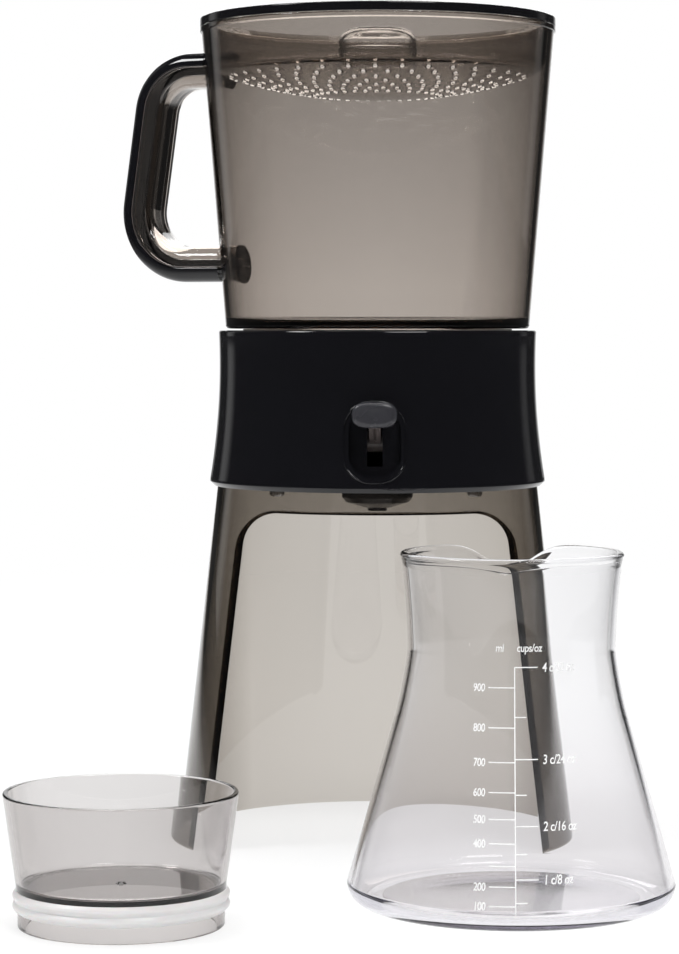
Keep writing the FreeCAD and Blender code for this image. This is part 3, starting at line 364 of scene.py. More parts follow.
DUSK, PALE = (0.66, 0.64, 0.62), (0.85, 0.84, 0.83)
# The jug's faces carry painted shade, darker towards the top and towards both sides.
smoky = clear_finish("smoky_plastic", (0.650, 0.598, 0.552), 460.0, DUSK,
                     painted_shade_along=(2, 0.26, 0.36, (0.775, 0.775, 0.775)),
                     sides=(-0.005, 0.048, 0.078, (0.81, 0.805, 0.80)))
smoky_bar = clear_finish("smoky_handle_plastic", (0.60, 0.55, 0.505), 125.0, DUSK, grime=0.02)
# The lid carries painted shade, darker above the plate's edge, and its rim is painted black from outside.
smoky_lid = clear_finish("smoky_lid_plastic", (0.574, 0.509, 0.446), 330.0, DUSK,
                         painted_dark_rim=(0.0838, 0.3840), painted_shade_along=(2, 0.3585, 0.3625, (0.80, 0.79, 0.78)))
smoky_knob = clear_finish("thin_smoky_plastic", (0.70, 0.66, 0.63), 140.0, PALE, wave_mm=0.04, grime=0.02)
# The stand carries painted shade, darker at the front and towards both sides.
smoky_stand = clear_finish("smoky_stand_plastic", (0.524, 0.476, 0.413), 460.0, (0.7, 0.68, 0.66),
                           painted_shade_along=(1, 0.01, -0.03, (0.63, 0.62, 0.61)),
                           sides=(0.0, 0.064, 0.092, (0.48, 0.46, 0.44)))
smoky_light = clear_finish("pale_smoky_plastic", (0.617, 0.583, 0.573), 300.0, PALE, wave_mm=0.04)
# The glass carries a faint painted shade near its foot.
glass = clear_finish("blown_glass", (0.74, 0.735, 0.78), 62.0, (0.96, 0.965, 0.965), ior=1.33, rough=0.0,
                     wave_scale=6.0, grime=0.012, painted_shade_along=(2, 0.09, 0.03, (0.935, 0.925, 0.93)))
print("see-through finishes ready")

# %% Opaque finishes
black_gloss = plain_finish("polished_black_plastic", (0.0058, 0.0058, 0.0074), (0.04, 0.08), 900.0, 0.002)
black_satin = plain_finish("satin_black_plastic", (0.03, 0.03, 0.034), (0.34, 0.46), 2600.0, 0.012)
stem_grey = plain_finish("brown_grey_stem_plastic", (0.10, 0.084, 0.080), (0.28, 0.4), 2600.0, 0.010)
soft_grey = plain_finish("soft_grey_cap", (0.036, 0.036, 0.042), (0.24, 0.32), 2200.0, 0.010)
white_silicone = plain_finish("white_silicone", (0.74, 0.735, 0.735), (0.30, 0.42), 1500.0, 0.010, 0.03,
                              {"Subsurface Weight": 0.12, "Subsurface Scale": 0.003})
grey_silicone = plain_finish("grey_silicone", (0.30, 0.30, 0.31), (0.42, 0.55), 1500.0, 0.010, 0.05)
steel = plain_finish("stainless_steel", (0.60, 0.60, 0.61), (0.18, 0.34), 1800.0, 0.006, 0.06,
                     {"Metallic": 1.0})
# Painted glint: a white finish that glows, for the linings of the lid's holes.
painted_glint_wall = plain_finish("painted_glint_hole_wall", (0.80, 0.79, 0.77), (0.3, 0.45), 2000.0, 0.004, 0.04,
                        {"Emission Color": (1.0, 0.99, 0.97, 1.0), "Emission Strength": 1.3})
white_ink = plain_finish("white_ink", (0.92, 0.92, 0.92), (0.45, 0.6), 3000.0, 0.004, 0.02)
print("opaque finishes ready")


def woven_finish(name):
    """Woven wire: two crossed waves as bump and as painted shade between the wires, in steel."""
    made, output, place = finish_called(name)
    waves = {"Vector": place, "Scale": 420.0}
    across, along = [place.node("TexWave", waves, 1, bands_direction=way) for way in "XY"]
    weave = across | along
    shader = place.node("BsdfPrincipled", {
        "Base Color": weave.ramp((0.10, 0.10, 0.10), (0.62, 0.62, 0.63)), "Metallic": 1.0,
        "Roughness": weave.fit(0, 1, 0.5, 0.28), "Normal": weave.bump(0.12)})
    shader.into(output)
    return made


woven = woven_finish("woven_steel_mesh")


def dress_node(name, finish):
    """Give a solid from the engineer's files a finish, in each of its slots."""
    made = bpy.data.objects[name]
    if not made.material_slots:
        made.data.materials.append(finish)
    for slot in made.material_slots:
        slot.material = finish


for finish, nodes in ((black_satin, "chassis lift_bar_guide valve_cage filter_frame"),
                      (steel, "collar_screws pivot_pin lift_bar drain_poppet"),
                      (grey_silicone, "seat_gasket filter_seal"), (woven, "filter_mesh"),
                      (black_gloss, "switch_surround"), (stem_grey, "switch_lever")):
    for node in nodes.split():
        dress_node(node, finish)
print("inner solids dressed")

# %% [markdown]
# ## Valve spring
#
# The coil stands between the valve's head and the cage, so it shortens when the lever lifts
# the valve. Here it is drawn at one length, between two fixed heights.

# %% Valve spring
SPRING_FOOT, SPRING_TOP, SPRING_R, WIRE_R, SPRING_TURNS, VALVE_LIFT = 218.8, 229.6, 3.6, 0.4, 3, 7.28
# A circle of wire on a helix: out by the spring's radius, and up by an equal step each turn.
turn = np.linspace(0, 2 * np.pi * SPRING_TURNS, 40 * SPRING_TURNS)[:, None, None]
lean = circle(16)[None, :, None]
thick = np.full(turn.shape, WIRE_R)
thick[[0, -1]] = 0.0
away = np.concatenate([np.cos(turn), np.sin(turn), 0 * turn], -1)
rise = SPRING_FOOT + WIRE_R + (SPRING_TOP - SPRING_FOOT - 2 * WIRE_R) * turn / turn.max()
coil = away * SPRING_R + UPWARD * rise + thick * (away * np.cos(lean) + UPWARD * np.sin(lean))
spring = piece("spring_coil", "container", [(coil, False, True)], steel, ["valve_spring"])
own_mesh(spring)

# %% [markdown]
# ## Brewing container
#
# A tapered jug, moulded in one piece with a well in its floor for the filter and a short
# drain tube. Its wall leans out by about a twelfth, so that it leaves the mould. One closed
# outline, turned round the axis, gives the inside and outside at once.

# %% Shared sizes
BODY_TOP, BODY_BOTTOM = 384.0, 241.8
BODY_TOP_R, BODY_FOOT_R, BODY_WALL = 83.6, 72.2, 2.5
SLOPE = (BODY_TOP_R - BODY_FOOT_R) / (BODY_TOP - BODY_BOTTOM)


def body_radius(z):
    """Outside radius of the container: a straight taper."""
    return BODY_FOOT_R + SLOPE * (z - BODY_BOTTOM)


FLOOR_THICK = 3.2
FLOOR_Z = BODY_BOTTOM + FLOOR_THICK
WELL_Z = FLOOR_Z - 8.7
print("container wall leans out", round(SLOPE * 100, 2), "percent")

# %% Container
DRAIN_R, TUBE_R, TUBE_IN, TUBE_FOOT, TUBE_FLOOR = 4.2, 11.0, 8.0, 214.0, 216.0
WELL_IN, WELL_OUT, WELL_FOOT = 42.0, 44.4, WELL_Z - FLOOR_THICK
RIM_OUT_R, RIM_FOOT = BODY_TOP_R + 0.6, BODY_TOP - 2.4
piece("jug_shell", "container", [turned(outline([
    (DRAIN_R, TUBE_FOOT), (TUBE_R, TUBE_FOOT, 0.8), (TUBE_R, WELL_FOOT, 0.6), (WELL_OUT, WELL_FOOT, 1.0),
    (WELL_OUT, BODY_BOTTOM, 0.6), (BODY_FOOT_R, BODY_BOTTOM, 1.6), (body_radius(RIM_FOOT), RIM_FOOT, 0.3),
    (RIM_OUT_R, RIM_FOOT, 0.4), (RIM_OUT_R, BODY_TOP, 0.4), (BODY_TOP_R - BODY_WALL, BODY_TOP, 0.4),
    (body_radius(FLOOR_Z) - BODY_WALL, FLOOR_Z, 2.5), (WELL_IN, FLOOR_Z, 0.5), (WELL_IN, WELL_Z),
    (TUBE_IN, WELL_Z, 0.5), (TUBE_IN, TUBE_FLOOR), (DRAIN_R, TUBE_FLOOR)]), 288)],
    smoky, ["brewing_container"])

# %% [markdown]
# ## Handle
#
# The handle is a clear bar, welded to the jug near the rim and near the foot, with a black
# spine set into its back. Both are one section carried along one path in an upright plane.
# At the jug the bar's section turns to an oval, and each line runs on to meet the taper.

# %% Handle path
HANDLE_TURN = math.radians(180 - 23.0)
OUTWARD = np.array([math.cos(HANDLE_TURN), math.sin(HANDLE_TURN), 0])
ASIDE = np.array([-math.sin(HANDLE_TURN), math.cos(HANDLE_TURN), 0])
TOP_Z, FOOT_Z, TOP_REACH, FOOT_REACH = 367.0, 272.9, 115.3, 129.2
THICK, WIDE, SPINE = 17.1, 23.5, 7.2
TONGUE_DEEP, TONGUE_WIDE, GLUE = 3.5, 10.0, 0.1
FRONT_ROUND, BACK_ROUND = 7.0, 6.5


def handle_path(start, end):
    """Points (reach, height) and outward directions along the handle's centre line, as arrays."""
    path = outline([(start, TOP_Z), (TOP_REACH, TOP_Z, 22.0), (FOOT_REACH, FOOT_Z, 25.5), (end, FOOT_Z)],
                   closed=False, steps=24)
    along = np.gradient(path, axis=0)
    along /= np.linalg.norm(along, axis=1, keepdims=True)
    return path, np.stack([-along[:, 1], along[:, 0]], -1)


def swept(section, path, outward):
    """Section points (out, aside) carried along the path: centre + out * outward + aside * sideways."""
    flat = path[:, None] + section[None, :, :1] * outward[:, None]
    return flat[..., :1] * OUTWARD + section[None, :, 1:] * ASIDE + flat[..., 1:] * UPWARD


def capped(grid):
    """A tube's grid with both ends drawn together to a point, which closes it."""
    ends = [np.broadcast_to(grid[i].mean(0), grid[i].shape)[None] for i in (0, -1)]
    return np.concatenate([ends[0], grid, ends[1]]), False, True


ROOT = 5.0  # mm of each arm, next to the jug, where the bar is whole and the spine has ended
ROOT_GAP = 0.05  # mm from foot to jug, so that no two clear faces coincide
ROOT_NARROW, ROOT_TALL = 0.8, 1.12  # the foot's width and height, as shares of the bar's
ROOT_OVAL = 0.7  # how far the foot's outline goes from the bar's section to an oval
path, outward = handle_path(body_radius(TOP_Z) + ROOT, body_radius(FOOT_Z) + ROOT)
print("handle path of", len(path), "points")

# %% Handle bar
step = THICK / 2 - SPINE
groove = TONGUE_WIDE / 2 + GLUE
bottom = step - TONGUE_DEEP - GLUE
grooved = outline([(step, -WIDE / 2), (step, -groove, 0.3), (bottom, -groove, 0.5), (bottom, groove, 0.5),
                   (step, groove, 0.3), (step, WIDE / 2)], closed=False)
whole = outline([(step, -WIDE / 2), (THICK / 2, -WIDE / 2, BACK_ROUND), (THICK / 2, WIDE / 2, BACK_ROUND),
                 (step, WIDE / 2)], closed=False)
front = outline([(step, WIDE / 2), (-THICK / 2, WIDE / 2, FRONT_ROUND), (-THICK / 2, -WIDE / 2, FRONT_ROUND),
                 (step, -WIDE / 2)], closed=False)[1:-1]
bar_section = np.concatenate([grooved, front])
root_section = np.concatenate([evenly(whole, len(grooved)), front])
rows = [swept(bar_section, path, outward)]
for end, z in ((0, TOP_Z), (-1, FOOT_Z)):
    near = swept(root_section, path[[end]], outward[[end]])[0]
    sideways, up = root_section[:, 1] * ROOT_NARROW, (near[:, 2] - z) * ROOT_TALL
    half_wide, half_tall = np.abs(sideways).max(), np.abs(up).max()
    turn = np.arctan2(up / half_tall, sideways / half_wide)
    sideways = sideways + ROOT_OVAL * (half_wide * np.cos(turn) - sideways)
    heights = z + up + ROOT_OVAL * (half_tall * np.sin(turn) - up)
    reach = np.sqrt((body_radius(heights) + ROOT_GAP) ** 2 - sideways ** 2)
    wall = reach[:, None] * OUTWARD + sideways[:, None] * ASIDE + heights[:, None] * UPWARD
    rows = [wall[None], near[None]] + rows if end == 0 else rows + [near[None], wall[None]]
piece("grip_bar", "container", [capped(np.concatenate(rows))], smoky_bar, ["handle_bar"])

# %% Handle spine
half, tip, heel = TONGUE_WIDE / 2, step - TONGUE_DEEP, step + GLUE
spine_section = outline([
    (THICK / 2, -WIDE / 2, BACK_ROUND), (THICK / 2, WIDE / 2, BACK_ROUND), (heel, WIDE / 2, 0.9),
    (heel, half, 0.2), (tip, half, 0.4), (tip, -half, 0.4), (heel, -half, 0.2), (heel, -WIDE / 2, 0.9)])
piece("grip_spine", "container", [capped(swept(spine_section, path, outward))], black_gloss,
      ["handle_spine"])

# %% Seam line, a painted highlight
# A thin light grey strip along each side, where the bar meets the spine: a painted highlight on the seam.
SEAM_HIGHLIGHT_R = 0.2
dot = polar(SEAM_HIGHLIGHT_R, circle(8), 0)[:, :2]
seam_highlights = [dot + (step - SEAM_HIGHLIGHT_R / 2, hand * (WIDE / 2 - SEAM_HIGHLIGHT_R / 4)) for hand in (-1, 1)]
piece("grip_seam", "container", [capped(swept(seam, path, outward)) for seam in seam_highlights],
      stem_grey)

# %% [markdown]
# ## Shower lid
#
# Water is poured into the lid and rains on the coffee through rings of small holes. The
# rim rests on the jug, a skirt hangs in it, and the dished plate closes the skirt, with a
# hollow round knob in its middle. Rim, skirt and plate are one clear mass, so they are one
# surface here, with no joint for light to catch in. The holes could be cut with booleans,
# but 252 cuts leave slivers that show in clear plastic. So the plate is laid out as polar
# cells, each a square ring of faces round one hole, copied by array sums.

# %% Lid sizes
LID_Z = BODY_TOP + 0.2
LID_WALL, RIM_R, RIM_H, BEVEL, BEVEL_FOOT = 2.0, 84.2, 4.2, 1.6, 0.9
DISH_Z, DISH_THICK, DISH_SPHERE = 350.4, 2.2, 246.0
KNOB_R, KNOB_TOP, KNOB_LINE, KNOB_ROUND, KNOB_WALL, NOTCH = 18.6, 384.1, 374.1, 7.0, 2.0, 0.5
RINGS, PER_RING, RING_R, RING_STEP, HOLE_R = 7, 36, 69.5, 6.6, 1.15


def skirt_radius(z):
    """Outside radius of the lid's skirt, just inside the jug's wall."""
    return body_radius(z) - BODY_WALL - 0.4


def dish_height(radius, top):
    """Height of the plate's lower or upper face: part of a sphere about a point above the middle."""
    sphere = DISH_SPHERE - DISH_THICK * top
    return DISH_Z + DISH_THICK * top + sphere - np.sqrt(sphere ** 2 - radius ** 2)


edge = [0.0, 0.0]
for top in (0, 1):
    for _ in range(30):
        edge[top] = skirt_radius(dish_height(edge[top], top)) - LID_WALL
print("plate edge radii", np.round(edge, 2))

# %% Knob
KNOB_IN = KNOB_R - KNOB_WALL
foot = [(r, dish_height(r, 1) + 0.04) for r in (KNOB_IN, KNOB_R)]
piece("lid_dome", "shower_lid", [turned(outline(foot + [
    (KNOB_R, KNOB_LINE - NOTCH, 0.2), (KNOB_R - NOTCH, KNOB_LINE, 0.2), (KNOB_R, KNOB_LINE + NOTCH, 0.2),
    (KNOB_R, KNOB_TOP, KNOB_ROUND), (0, KNOB_TOP), (0, KNOB_TOP - KNOB_WALL),
    (KNOB_IN, KNOB_TOP - KNOB_WALL, KNOB_ROUND - KNOB_WALL)]), 160)], smoky_knob, ["lid_knob"])

# %% Rim, skirt and shower plate
CELL = 4  # faces along each side of a cell
side = np.linspace(-1, 1, CELL + 1)[:-1]
one = np.ones(CELL)
square = np.concatenate([np.stack([side, -one], -1), np.stack([one, side], -1),
                         np.stack([-side, one], -1), np.stack([-one, -side], -1)])
spin = np.arctan2(square[:, 1], square[:, 0])
ring = np.arange(RINGS)[:, None, None]
turn = (np.arange(PER_RING)[None, :, None] + 0.5 * (ring % 2)) * 2 * np.pi / PER_RING
mid_r = RING_R - RING_STEP * ring


def on_dish(radius, angle, top):
    """Point of the plate's lower (0) or upper (1) face."""
    return polar(radius, angle, dish_height(radius, top))


every = np.zeros((RINGS, PER_RING, 4 * CELL))
cell_r = mid_r + square[:, 1] * RING_STEP / 2 + every
cell_a = turn + square[:, 0] * np.pi / PER_RING + every


def hole_loop(wider, top):
    """Loops round all the holes, each wider than its bore by some mm, at one share of the thickness."""
    reach = HOLE_R + wider
    return on_dish(mid_r + reach * np.sin(spin) + every, turn + reach * np.cos(spin) / mid_r + every, top)


def by_hole(loops):
    """A sheet for each hole, from loops round all of them: rings, holes, 16 points, xyz."""
    cells = np.stack(loops).reshape(len(loops), RINGS * PER_RING, 4 * CELL, 3)
    return [(cells[:, i], False, True) for i in range(RINGS * PER_RING)]


LIP = [(0.8, 0), (0.5, -0.03), (0.42, -0.16), (0.24, -0.24), (0.06, -0.18), (0, -0.08), (0, 0.92),
       (0.12, 1)]  # drip lip under each hole: mm wider than the bore, share of the plate's thickness
sheets = by_hole([on_dish(cell_r, cell_a, 0)] + [hole_loop(*place) for place in LIP]
                 + [on_dish(cell_r, cell_a, 1)])
ring_turn = np.arange(PER_RING * CELL) * 2 * np.pi / (PER_RING * CELL) + np.pi / PER_RING
in_r, out_r = RING_R - RING_STEP * (RINGS - 0.5), RING_R + RING_STEP / 2


def ring_sheet(profile):
    """Points (radius, height) carried round in the plate's own steps, so that it welds to the cells."""
    return polar(profile[:, :1], ring_turn, profile[:, 1:]), False, True


low_r = edge[0] + LID_WALL
rim_in = skirt_radius(LID_Z) - LID_WALL
rim_top = LID_Z + RIM_H
sheets.append(ring_sheet(outline([
    (out_r, dish_height(out_r, 0)), (low_r, dish_height(low_r, 0), 7.0), (skirt_radius(LID_Z), LID_Z, 0.2),
    (RIM_R, LID_Z, 0.4), (RIM_R, rim_top, 0.9), (RIM_R - BEVEL, rim_top, 0.45),
    (rim_in, LID_Z + BEVEL_FOOT, 0.8), (edge[1], dish_height(edge[1], 1), 5.0),
    (out_r, dish_height(out_r, 1))], closed=False)))
radii = np.linspace(in_r, 0, 12)
sheets += [ring_sheet(np.stack([radii, dish_height(radii, top)], -1)) for top in (0, 1)]
piece("rain_plate", "shower_lid", sheets, smoky_lid, ["lid_rim", "lid_skirt", "shower_plate"],
      weld=2e-5)

# %% Linings of the holes, painted glints
# A clear plate lets out the light it carries inside at the holes' walls; here each bore gets a thin white
# lining that glows by emission, a painted glint.
GLINT_LINING = [(-0.06, 0.0), (-0.06, 0.42), (-0.2, 0.42), (-0.2, 0.0), (-0.06, 0.0)]
piece("lit_linings", "shower_lid", by_hole([hole_loop(*place) for place in GLINT_LINING]), painted_glint_wall,
      weld=1e-6)

# %% [markdown]
# ## Collar
#
# The polished black band bows in at the waist, and a rounded window in its front holds the
# switch. A polished surface shows every flaw of its mesh, so the window is not cut: near it
# the faces run in loops round the window, and further round they are plain columns.

# %% Collar sizes
COLLAR_BOTTOM, COLLAR_TOP, COLLAR_TOP_R, COLLAR_FOOT_R, BOW = 167.5, 241.0, 75.6, 80.0, 1.9
CHAMFER, COLLAR_WALL, TOP_WALL = 2.2, 2.8, 2.8
GROOVE_OUT, GROOVE_IN, GROOVE_DEEP, TOP_BORE = 11.5, 17.7, 0.8, 30.8  # mm in from the top edge, or down
SIDE_LOW, SIDE_HIGH = COLLAR_BOTTOM + CHAMFER, COLLAR_TOP - 1.0
WINDOW_W, WINDOW_H, WINDOW_CORNER, WINDOW_Z = 28.9, 36.5, 12.7, 190.6
side_arc = arc_through((COLLAR_FOOT_R, SIDE_LOW),
                       ((COLLAR_FOOT_R + COLLAR_TOP_R) / 2 - BOW, (SIDE_LOW + SIDE_HIGH) / 2),
                       (COLLAR_TOP_R, SIDE_HIGH), 400)


def collar_radius(z):
    """Outside radius of the collar, read from its side arc."""
    return np.interp(z, side_arc[:, 1], side_arc[:, 0])


def on_collar(x, z, inset=0.0):
    """Point on the collar's front at width x and height z, sunk by inset."""
    return at_front(x, collar_radius(z) - inset, z)


def inward(grid):
    """The collar's inner face: each point moved by the wall toward the axis, and kept under the top."""
    r = np.hypot(grid[..., 0], grid[..., 1])[..., None]
    low = np.minimum(grid[..., 2:], COLLAR_TOP - TOP_WALL)
    return np.concatenate([grid[..., :2] * (1 - COLLAR_WALL / r), low], -1)


def window_loop(grow, count):
    """Evenly spaced points round the window, an upright rounded rectangle that grows on each side."""
    w, h, corner = WINDOW_W / 2 + grow, WINDOW_H / 2 + grow, WINDOW_CORNER + grow
    low, high = WINDOW_Z - h, WINDOW_Z + h
    loop = outline([(-w, low, corner), (w, low, corner), (w, high, corner), (-w, high, corner)])
    return evenly(loop, count, closed=True)


print("collar waist radius", side_arc[:, 0].min().round(2))

# %% Collar surface
PANEL_X, ROWS, COLS = 32.0, 40, 36
LIP_W, LIP_H, LIP_DEEP = 0.02, 0.016, 0.55  # shares by which the window's lip narrows, and mm inward
zs = np.linspace(SIDE_LOW, SIDE_HIGH, ROWS + 1)
xs = np.linspace(-PANEL_X, PANEL_X, COLS + 1)
border = np.concatenate([
    np.stack([xs[:-1], 0 * xs[:-1] + SIDE_LOW], -1), np.stack([0 * zs[:-1] + PANEL_X, zs[:-1]], -1),
    np.stack([xs[:0:-1], 0 * xs[1:] + SIDE_HIGH], -1), np.stack([0 * zs[1:] - PANEL_X, zs[:0:-1]], -1)])
loop = window_loop(0.0, 4 * len(border))
centre = np.array([0, WINDOW_Z])
aim = np.arctan2(*(border - centre).T[::-1])
loop_aim = np.arctan2(*(loop - centre).T[::-1])
order = np.argsort(loop_aim)
inner = np.stack([np.interp(aim, loop_aim[order], loop[order, i], period=2 * np.pi) for i in (0, 1)], -1)
t = (np.linspace(0, 1, 26) ** 1.5)[:, None, None]  # rows lie closer together near the window
flat = inner + (border - inner) * t
panel = on_collar(flat[..., 0], flat[..., 1])


def lip_ring(share):
    """The window's edge, narrowed and sunk by a share of the lip."""
    narrow, low = inner[:, 0] * (1 - LIP_W * share), (inner[:, 1] - WINDOW_Z) * (1 - LIP_H * share)
    return on_collar(narrow, WINDOW_Z + low, LIP_DEEP * share)[None]


lip = np.concatenate([inward(panel[:1]), lip_ring(1.0), lip_ring(0.35), panel[:1]])
start = np.arcsin(PANEL_X / collar_radius(zs))
t = np.linspace(0, 1, 161)[:, None]
angle = -np.pi / 2 + start + (2 * np.pi - 2 * start) * t
back = polar(collar_radius(zs), angle, zs)


def whole_ring(end, profile):
    """Rings that follow the collar's lowest or highest row, at each (mm inward, height) of a profile."""
    row = np.concatenate([back[:, end], on_collar(xs, np.full(len(xs), zs[end]))[1:-1]])
    r = np.hypot(row[:, 0], row[:, 1])[:, None]
    rings = [(row[:, :2] / r * (r - inset), np.full((len(row), 1), height)) for inset, height in profile]
    return np.stack([np.concatenate(ring, 1) for ring in rings])


top_under, groove_z = COLLAR_TOP - TOP_WALL, COLLAR_TOP - GROOVE_DEEP
base = whole_ring(0, [(0, SIDE_LOW), (0.10, SIDE_LOW - 0.25), (CHAMFER - 0.15, COLLAR_BOTTOM + 0.2),
                      (CHAMFER, COLLAR_BOTTOM), (COLLAR_WALL, COLLAR_BOTTOM), (COLLAR_WALL, SIDE_LOW)])
head = whole_ring(-1, [(0, SIDE_HIGH), (0.12, SIDE_HIGH + 0.5), (0.42, SIDE_HIGH + 0.85), (1.0, COLLAR_TOP),
                       (GROOVE_OUT, COLLAR_TOP), (GROOVE_OUT, groove_z), (GROOVE_IN, groove_z),
                       (GROOVE_IN, COLLAR_TOP), (TOP_BORE, COLLAR_TOP), (TOP_BORE, top_under),
                       (COLLAR_WALL, top_under)])
piece("waisted_band", "stand", [
    (panel, False, True), (lip, False, True), (back, False, False), (base, False, True), (head, False, True),
    (inward(panel), False, True), (inward(back), False, False)],
    black_gloss, ["collar_shell"], weld=1e-5)

# %% Bead round the window
BEAD_R, BEAD_RISE = 0.55, 0.5
bead = np.stack([on_collar(*window_loop(BEAD_R * np.cos(a), 240).T, -BEAD_RISE * np.sin(a))
                 for a in circle(12)])
piece("window_bead", "stand", [(bead, True, True)], black_gloss)

# %% [markdown]
# ## Stand
#
# The stand is a tapered tube with an arch cut through its front, and a rib runs inside the
# arch's edge. Here the faces start along the arch and fan out to the top rim and to the
# seam at the back, so that the edge is smooth all the way.

# %% Stand sizes
STAND_H, STAND_FOOT_R, STAND_TOP_R, STAND_WALL = 169.0, 95.2, 76.1, 2.6
ARCH_H, ARCH_FOOT, ARCH_HEAD, ARCH_BEND = 157.5, 77.8, 59.6, 17.0
RIB_WIDE, RIB_DEEP, RIB_SOFT = 2.4, 8.1, 0.4
FADE_FROM, FADE_OVER, FADE = 135.0, 20.0, 0.66
COUNT, UP_COUNT = 150, 96  # points along half of the arch, and up from it


def stand_radius(z):
    """Outside radius of the stand: a straight taper."""
    return STAND_FOOT_R + (STAND_TOP_R - STAND_FOOT_R) * z / STAND_H


def arch_line(grow):
    """Half of the arch from the right foot to the middle of its top, evenly spaced, widened by grow.

    The widening fades to a third near the top: grow * (1 - FADE * s * s * (3 - 2 * s)), s from 0 to 1.
    """
    lines = [evenly(outline([(ARCH_FOOT + g, 0), (ARCH_HEAD + g, ARCH_H + g, ARCH_BEND + g), (0, ARCH_H + g)],
                            closed=False, steps=40), COUNT) for g in (0.0, grow)]
    s = np.clip((lines[0][:, 1:] - FADE_FROM) / FADE_OVER, 0, 1)
    return lines[0] + (lines[1] - lines[0]) * (1 - FADE * s * s * (3 - 2 * s))


print("stand foot radius", STAND_FOOT_R, "arch", 2 * ARCH_FOOT, "by", ARCH_H, "mm")

# %% Stand surface
TURN_AT = 0.70  # share of the arch at which the far line turns from the back seam to the top rim
turn_index = int(COUNT * TURN_AT)
share = np.concatenate([np.linspace(0, TURN_AT, turn_index),
                        np.linspace(TURN_AT, 1, COUNT - turn_index + 1)[1:]])
far_angle = np.where(share < TURN_AT, np.pi, np.pi * (1 - share) / (1 - TURN_AT))
far_z = np.where(share < TURN_AT, STAND_H * share / TURN_AT, STAND_H)


def stand_side(line, inset, hand):
    """One hand's half of the wall: from a line along the arch to the back seam and the top rim."""
    near = np.arcsin(np.clip(line[:, 0] / (stand_radius(line[:, 1]) - inset), -1, 1))
    t = np.linspace(0, 1, UP_COUNT)[:, None]
    angle = near + (far_angle - near) * t
    z = line[:, 1] + (far_z - line[:, 1]) * t
    r = stand_radius(z) - inset
    return np.stack([hand * r * np.sin(angle), -r * np.cos(angle), z], -1)


narrow, wide = arch_line(0.0), arch_line(RIB_WIDE)
rounding = narrow + (wide - narrow) * RIB_SOFT / RIB_WIDE
rib = [(narrow.T, depth) for depth in (0.0, 0.35, 1.2, 4.0, 7.6)]
rib += [(rounding.T, RIB_DEEP), (wide.T, RIB_DEEP), (wide.T, STAND_WALL)]
sheets = []
for hand in (-1, 1):
    outer, inner = stand_side(narrow, 0.0, hand), stand_side(wide, STAND_WALL, hand)
    edge = np.stack([at_front(hand * x, stand_radius(z) - depth, z) for (x, z), depth in rib])
    foot, top = edge[:, 0], share >= TURN_AT
    sheets += [(outer, False, False), (inner, False, False), (edge, False, False),
               (np.stack([foot, np.broadcast_to(foot.mean(0), foot.shape)]), False, True),
               (np.stack([outer[-1][top], inner[-1][top]]), False, False),
               (np.stack([outer[:, 0], inner[:, 0]]), False, False)]
piece("tapered_stand", "stand", sheets, smoky_stand, ["stand_shell"], weld=2e-5)

# %% [markdown]
# ## Funnel, switch paddle, carafe and cup
#
# The funnel and the cup are turned. The paddle is a soft cap with a shallow dish for the
# thumb: a rounded box whose front face is pressed in by a smooth hump. The carafe is blown
# glass, so its wall is one curve with no hard corner, and its lip is pulled down and out at
# the back to pour.

# %% Funnel
NOZZLE_FOOT, FLANGE_LOW, FLANGE_TOP, FUNNEL_TOP = 154.8, 171.6, 173.8, 200.0
piece("drip_funnel", "stand", [turned(outline([
    (3.0, NOZZLE_FOOT, 0.2), (4.6, NOZZLE_FOOT, 0.4), (4.6, 155.8), (15.2, 159.0, 1.0), (17.0, 161.4, 0.6),
    (17.0, FLANGE_LOW), (25.0, FLANGE_LOW), (25.0, FLANGE_TOP), (19.0, FLANGE_TOP), (36.0, FUNNEL_TOP, 0.4),
    (34.0, FUNNEL_TOP, 0.4), (15.0, FLANGE_TOP, 2.0), (15.0, 163.4, 1.0), (3.0, 157.8, 0.5)]), 128)],
    black_gloss, ["drain_funnel"])

# %% Paddle
PADDLE = np.array([10.2, 3.8, 5.9])
DISH_DEEP, DISH_WIDE, DISH_TALL = 0.16, 0.62, 0.6  # the thumb's hollow, as shares of the paddle
PIN_Y, LEVER, LEVER_RISE = -62.0, 24.6, math.radians(30.6)
stem_end = np.array([0, PIN_Y - LEVER * math.cos(LEVER_RISE), WINDOW_Z + LEVER * math.sin(LEVER_RISE)])


def power(value, exponent):
    """Signed power, which squares up a sine or cosine."""
    return np.sign(value) * np.abs(value) ** exponent


lat = np.linspace(-np.pi / 2, np.pi / 2, 49)[:, None]
lon = circle(96)[None]
depth = power(np.sin(lat), 0.62) + 0 * lon
cap_x = power(np.cos(lat), 0.42) * power(np.cos(lon), 0.62)
cap_z = power(np.cos(lat), 0.42) * power(np.sin(lon), 0.74)
dish = DISH_DEEP * np.exp(-(cap_x / DISH_WIDE) ** 2 - (cap_z / DISH_TALL) ** 2) * (depth < 0)
cap = np.stack([cap_x, depth + dish, cap_z], -1) * PADDLE + stem_end
piece("thumb_paddle", "brew_switch", [(cap, False, True)], soft_grey, ["switch_paddle"], sharp=80)

# %% Carafe
CARAFE_X, CARAFE_Y, CARAFE_H, GLASS, BASE = 59.3, -173.0, 148.0, 2.2, 4.0
POUR_FROM, POUR_DOWN, POUR_OUT, POUR_WIDE = 112.0, 11.0, 1.4, 0.30  # height, mm, mm and radians


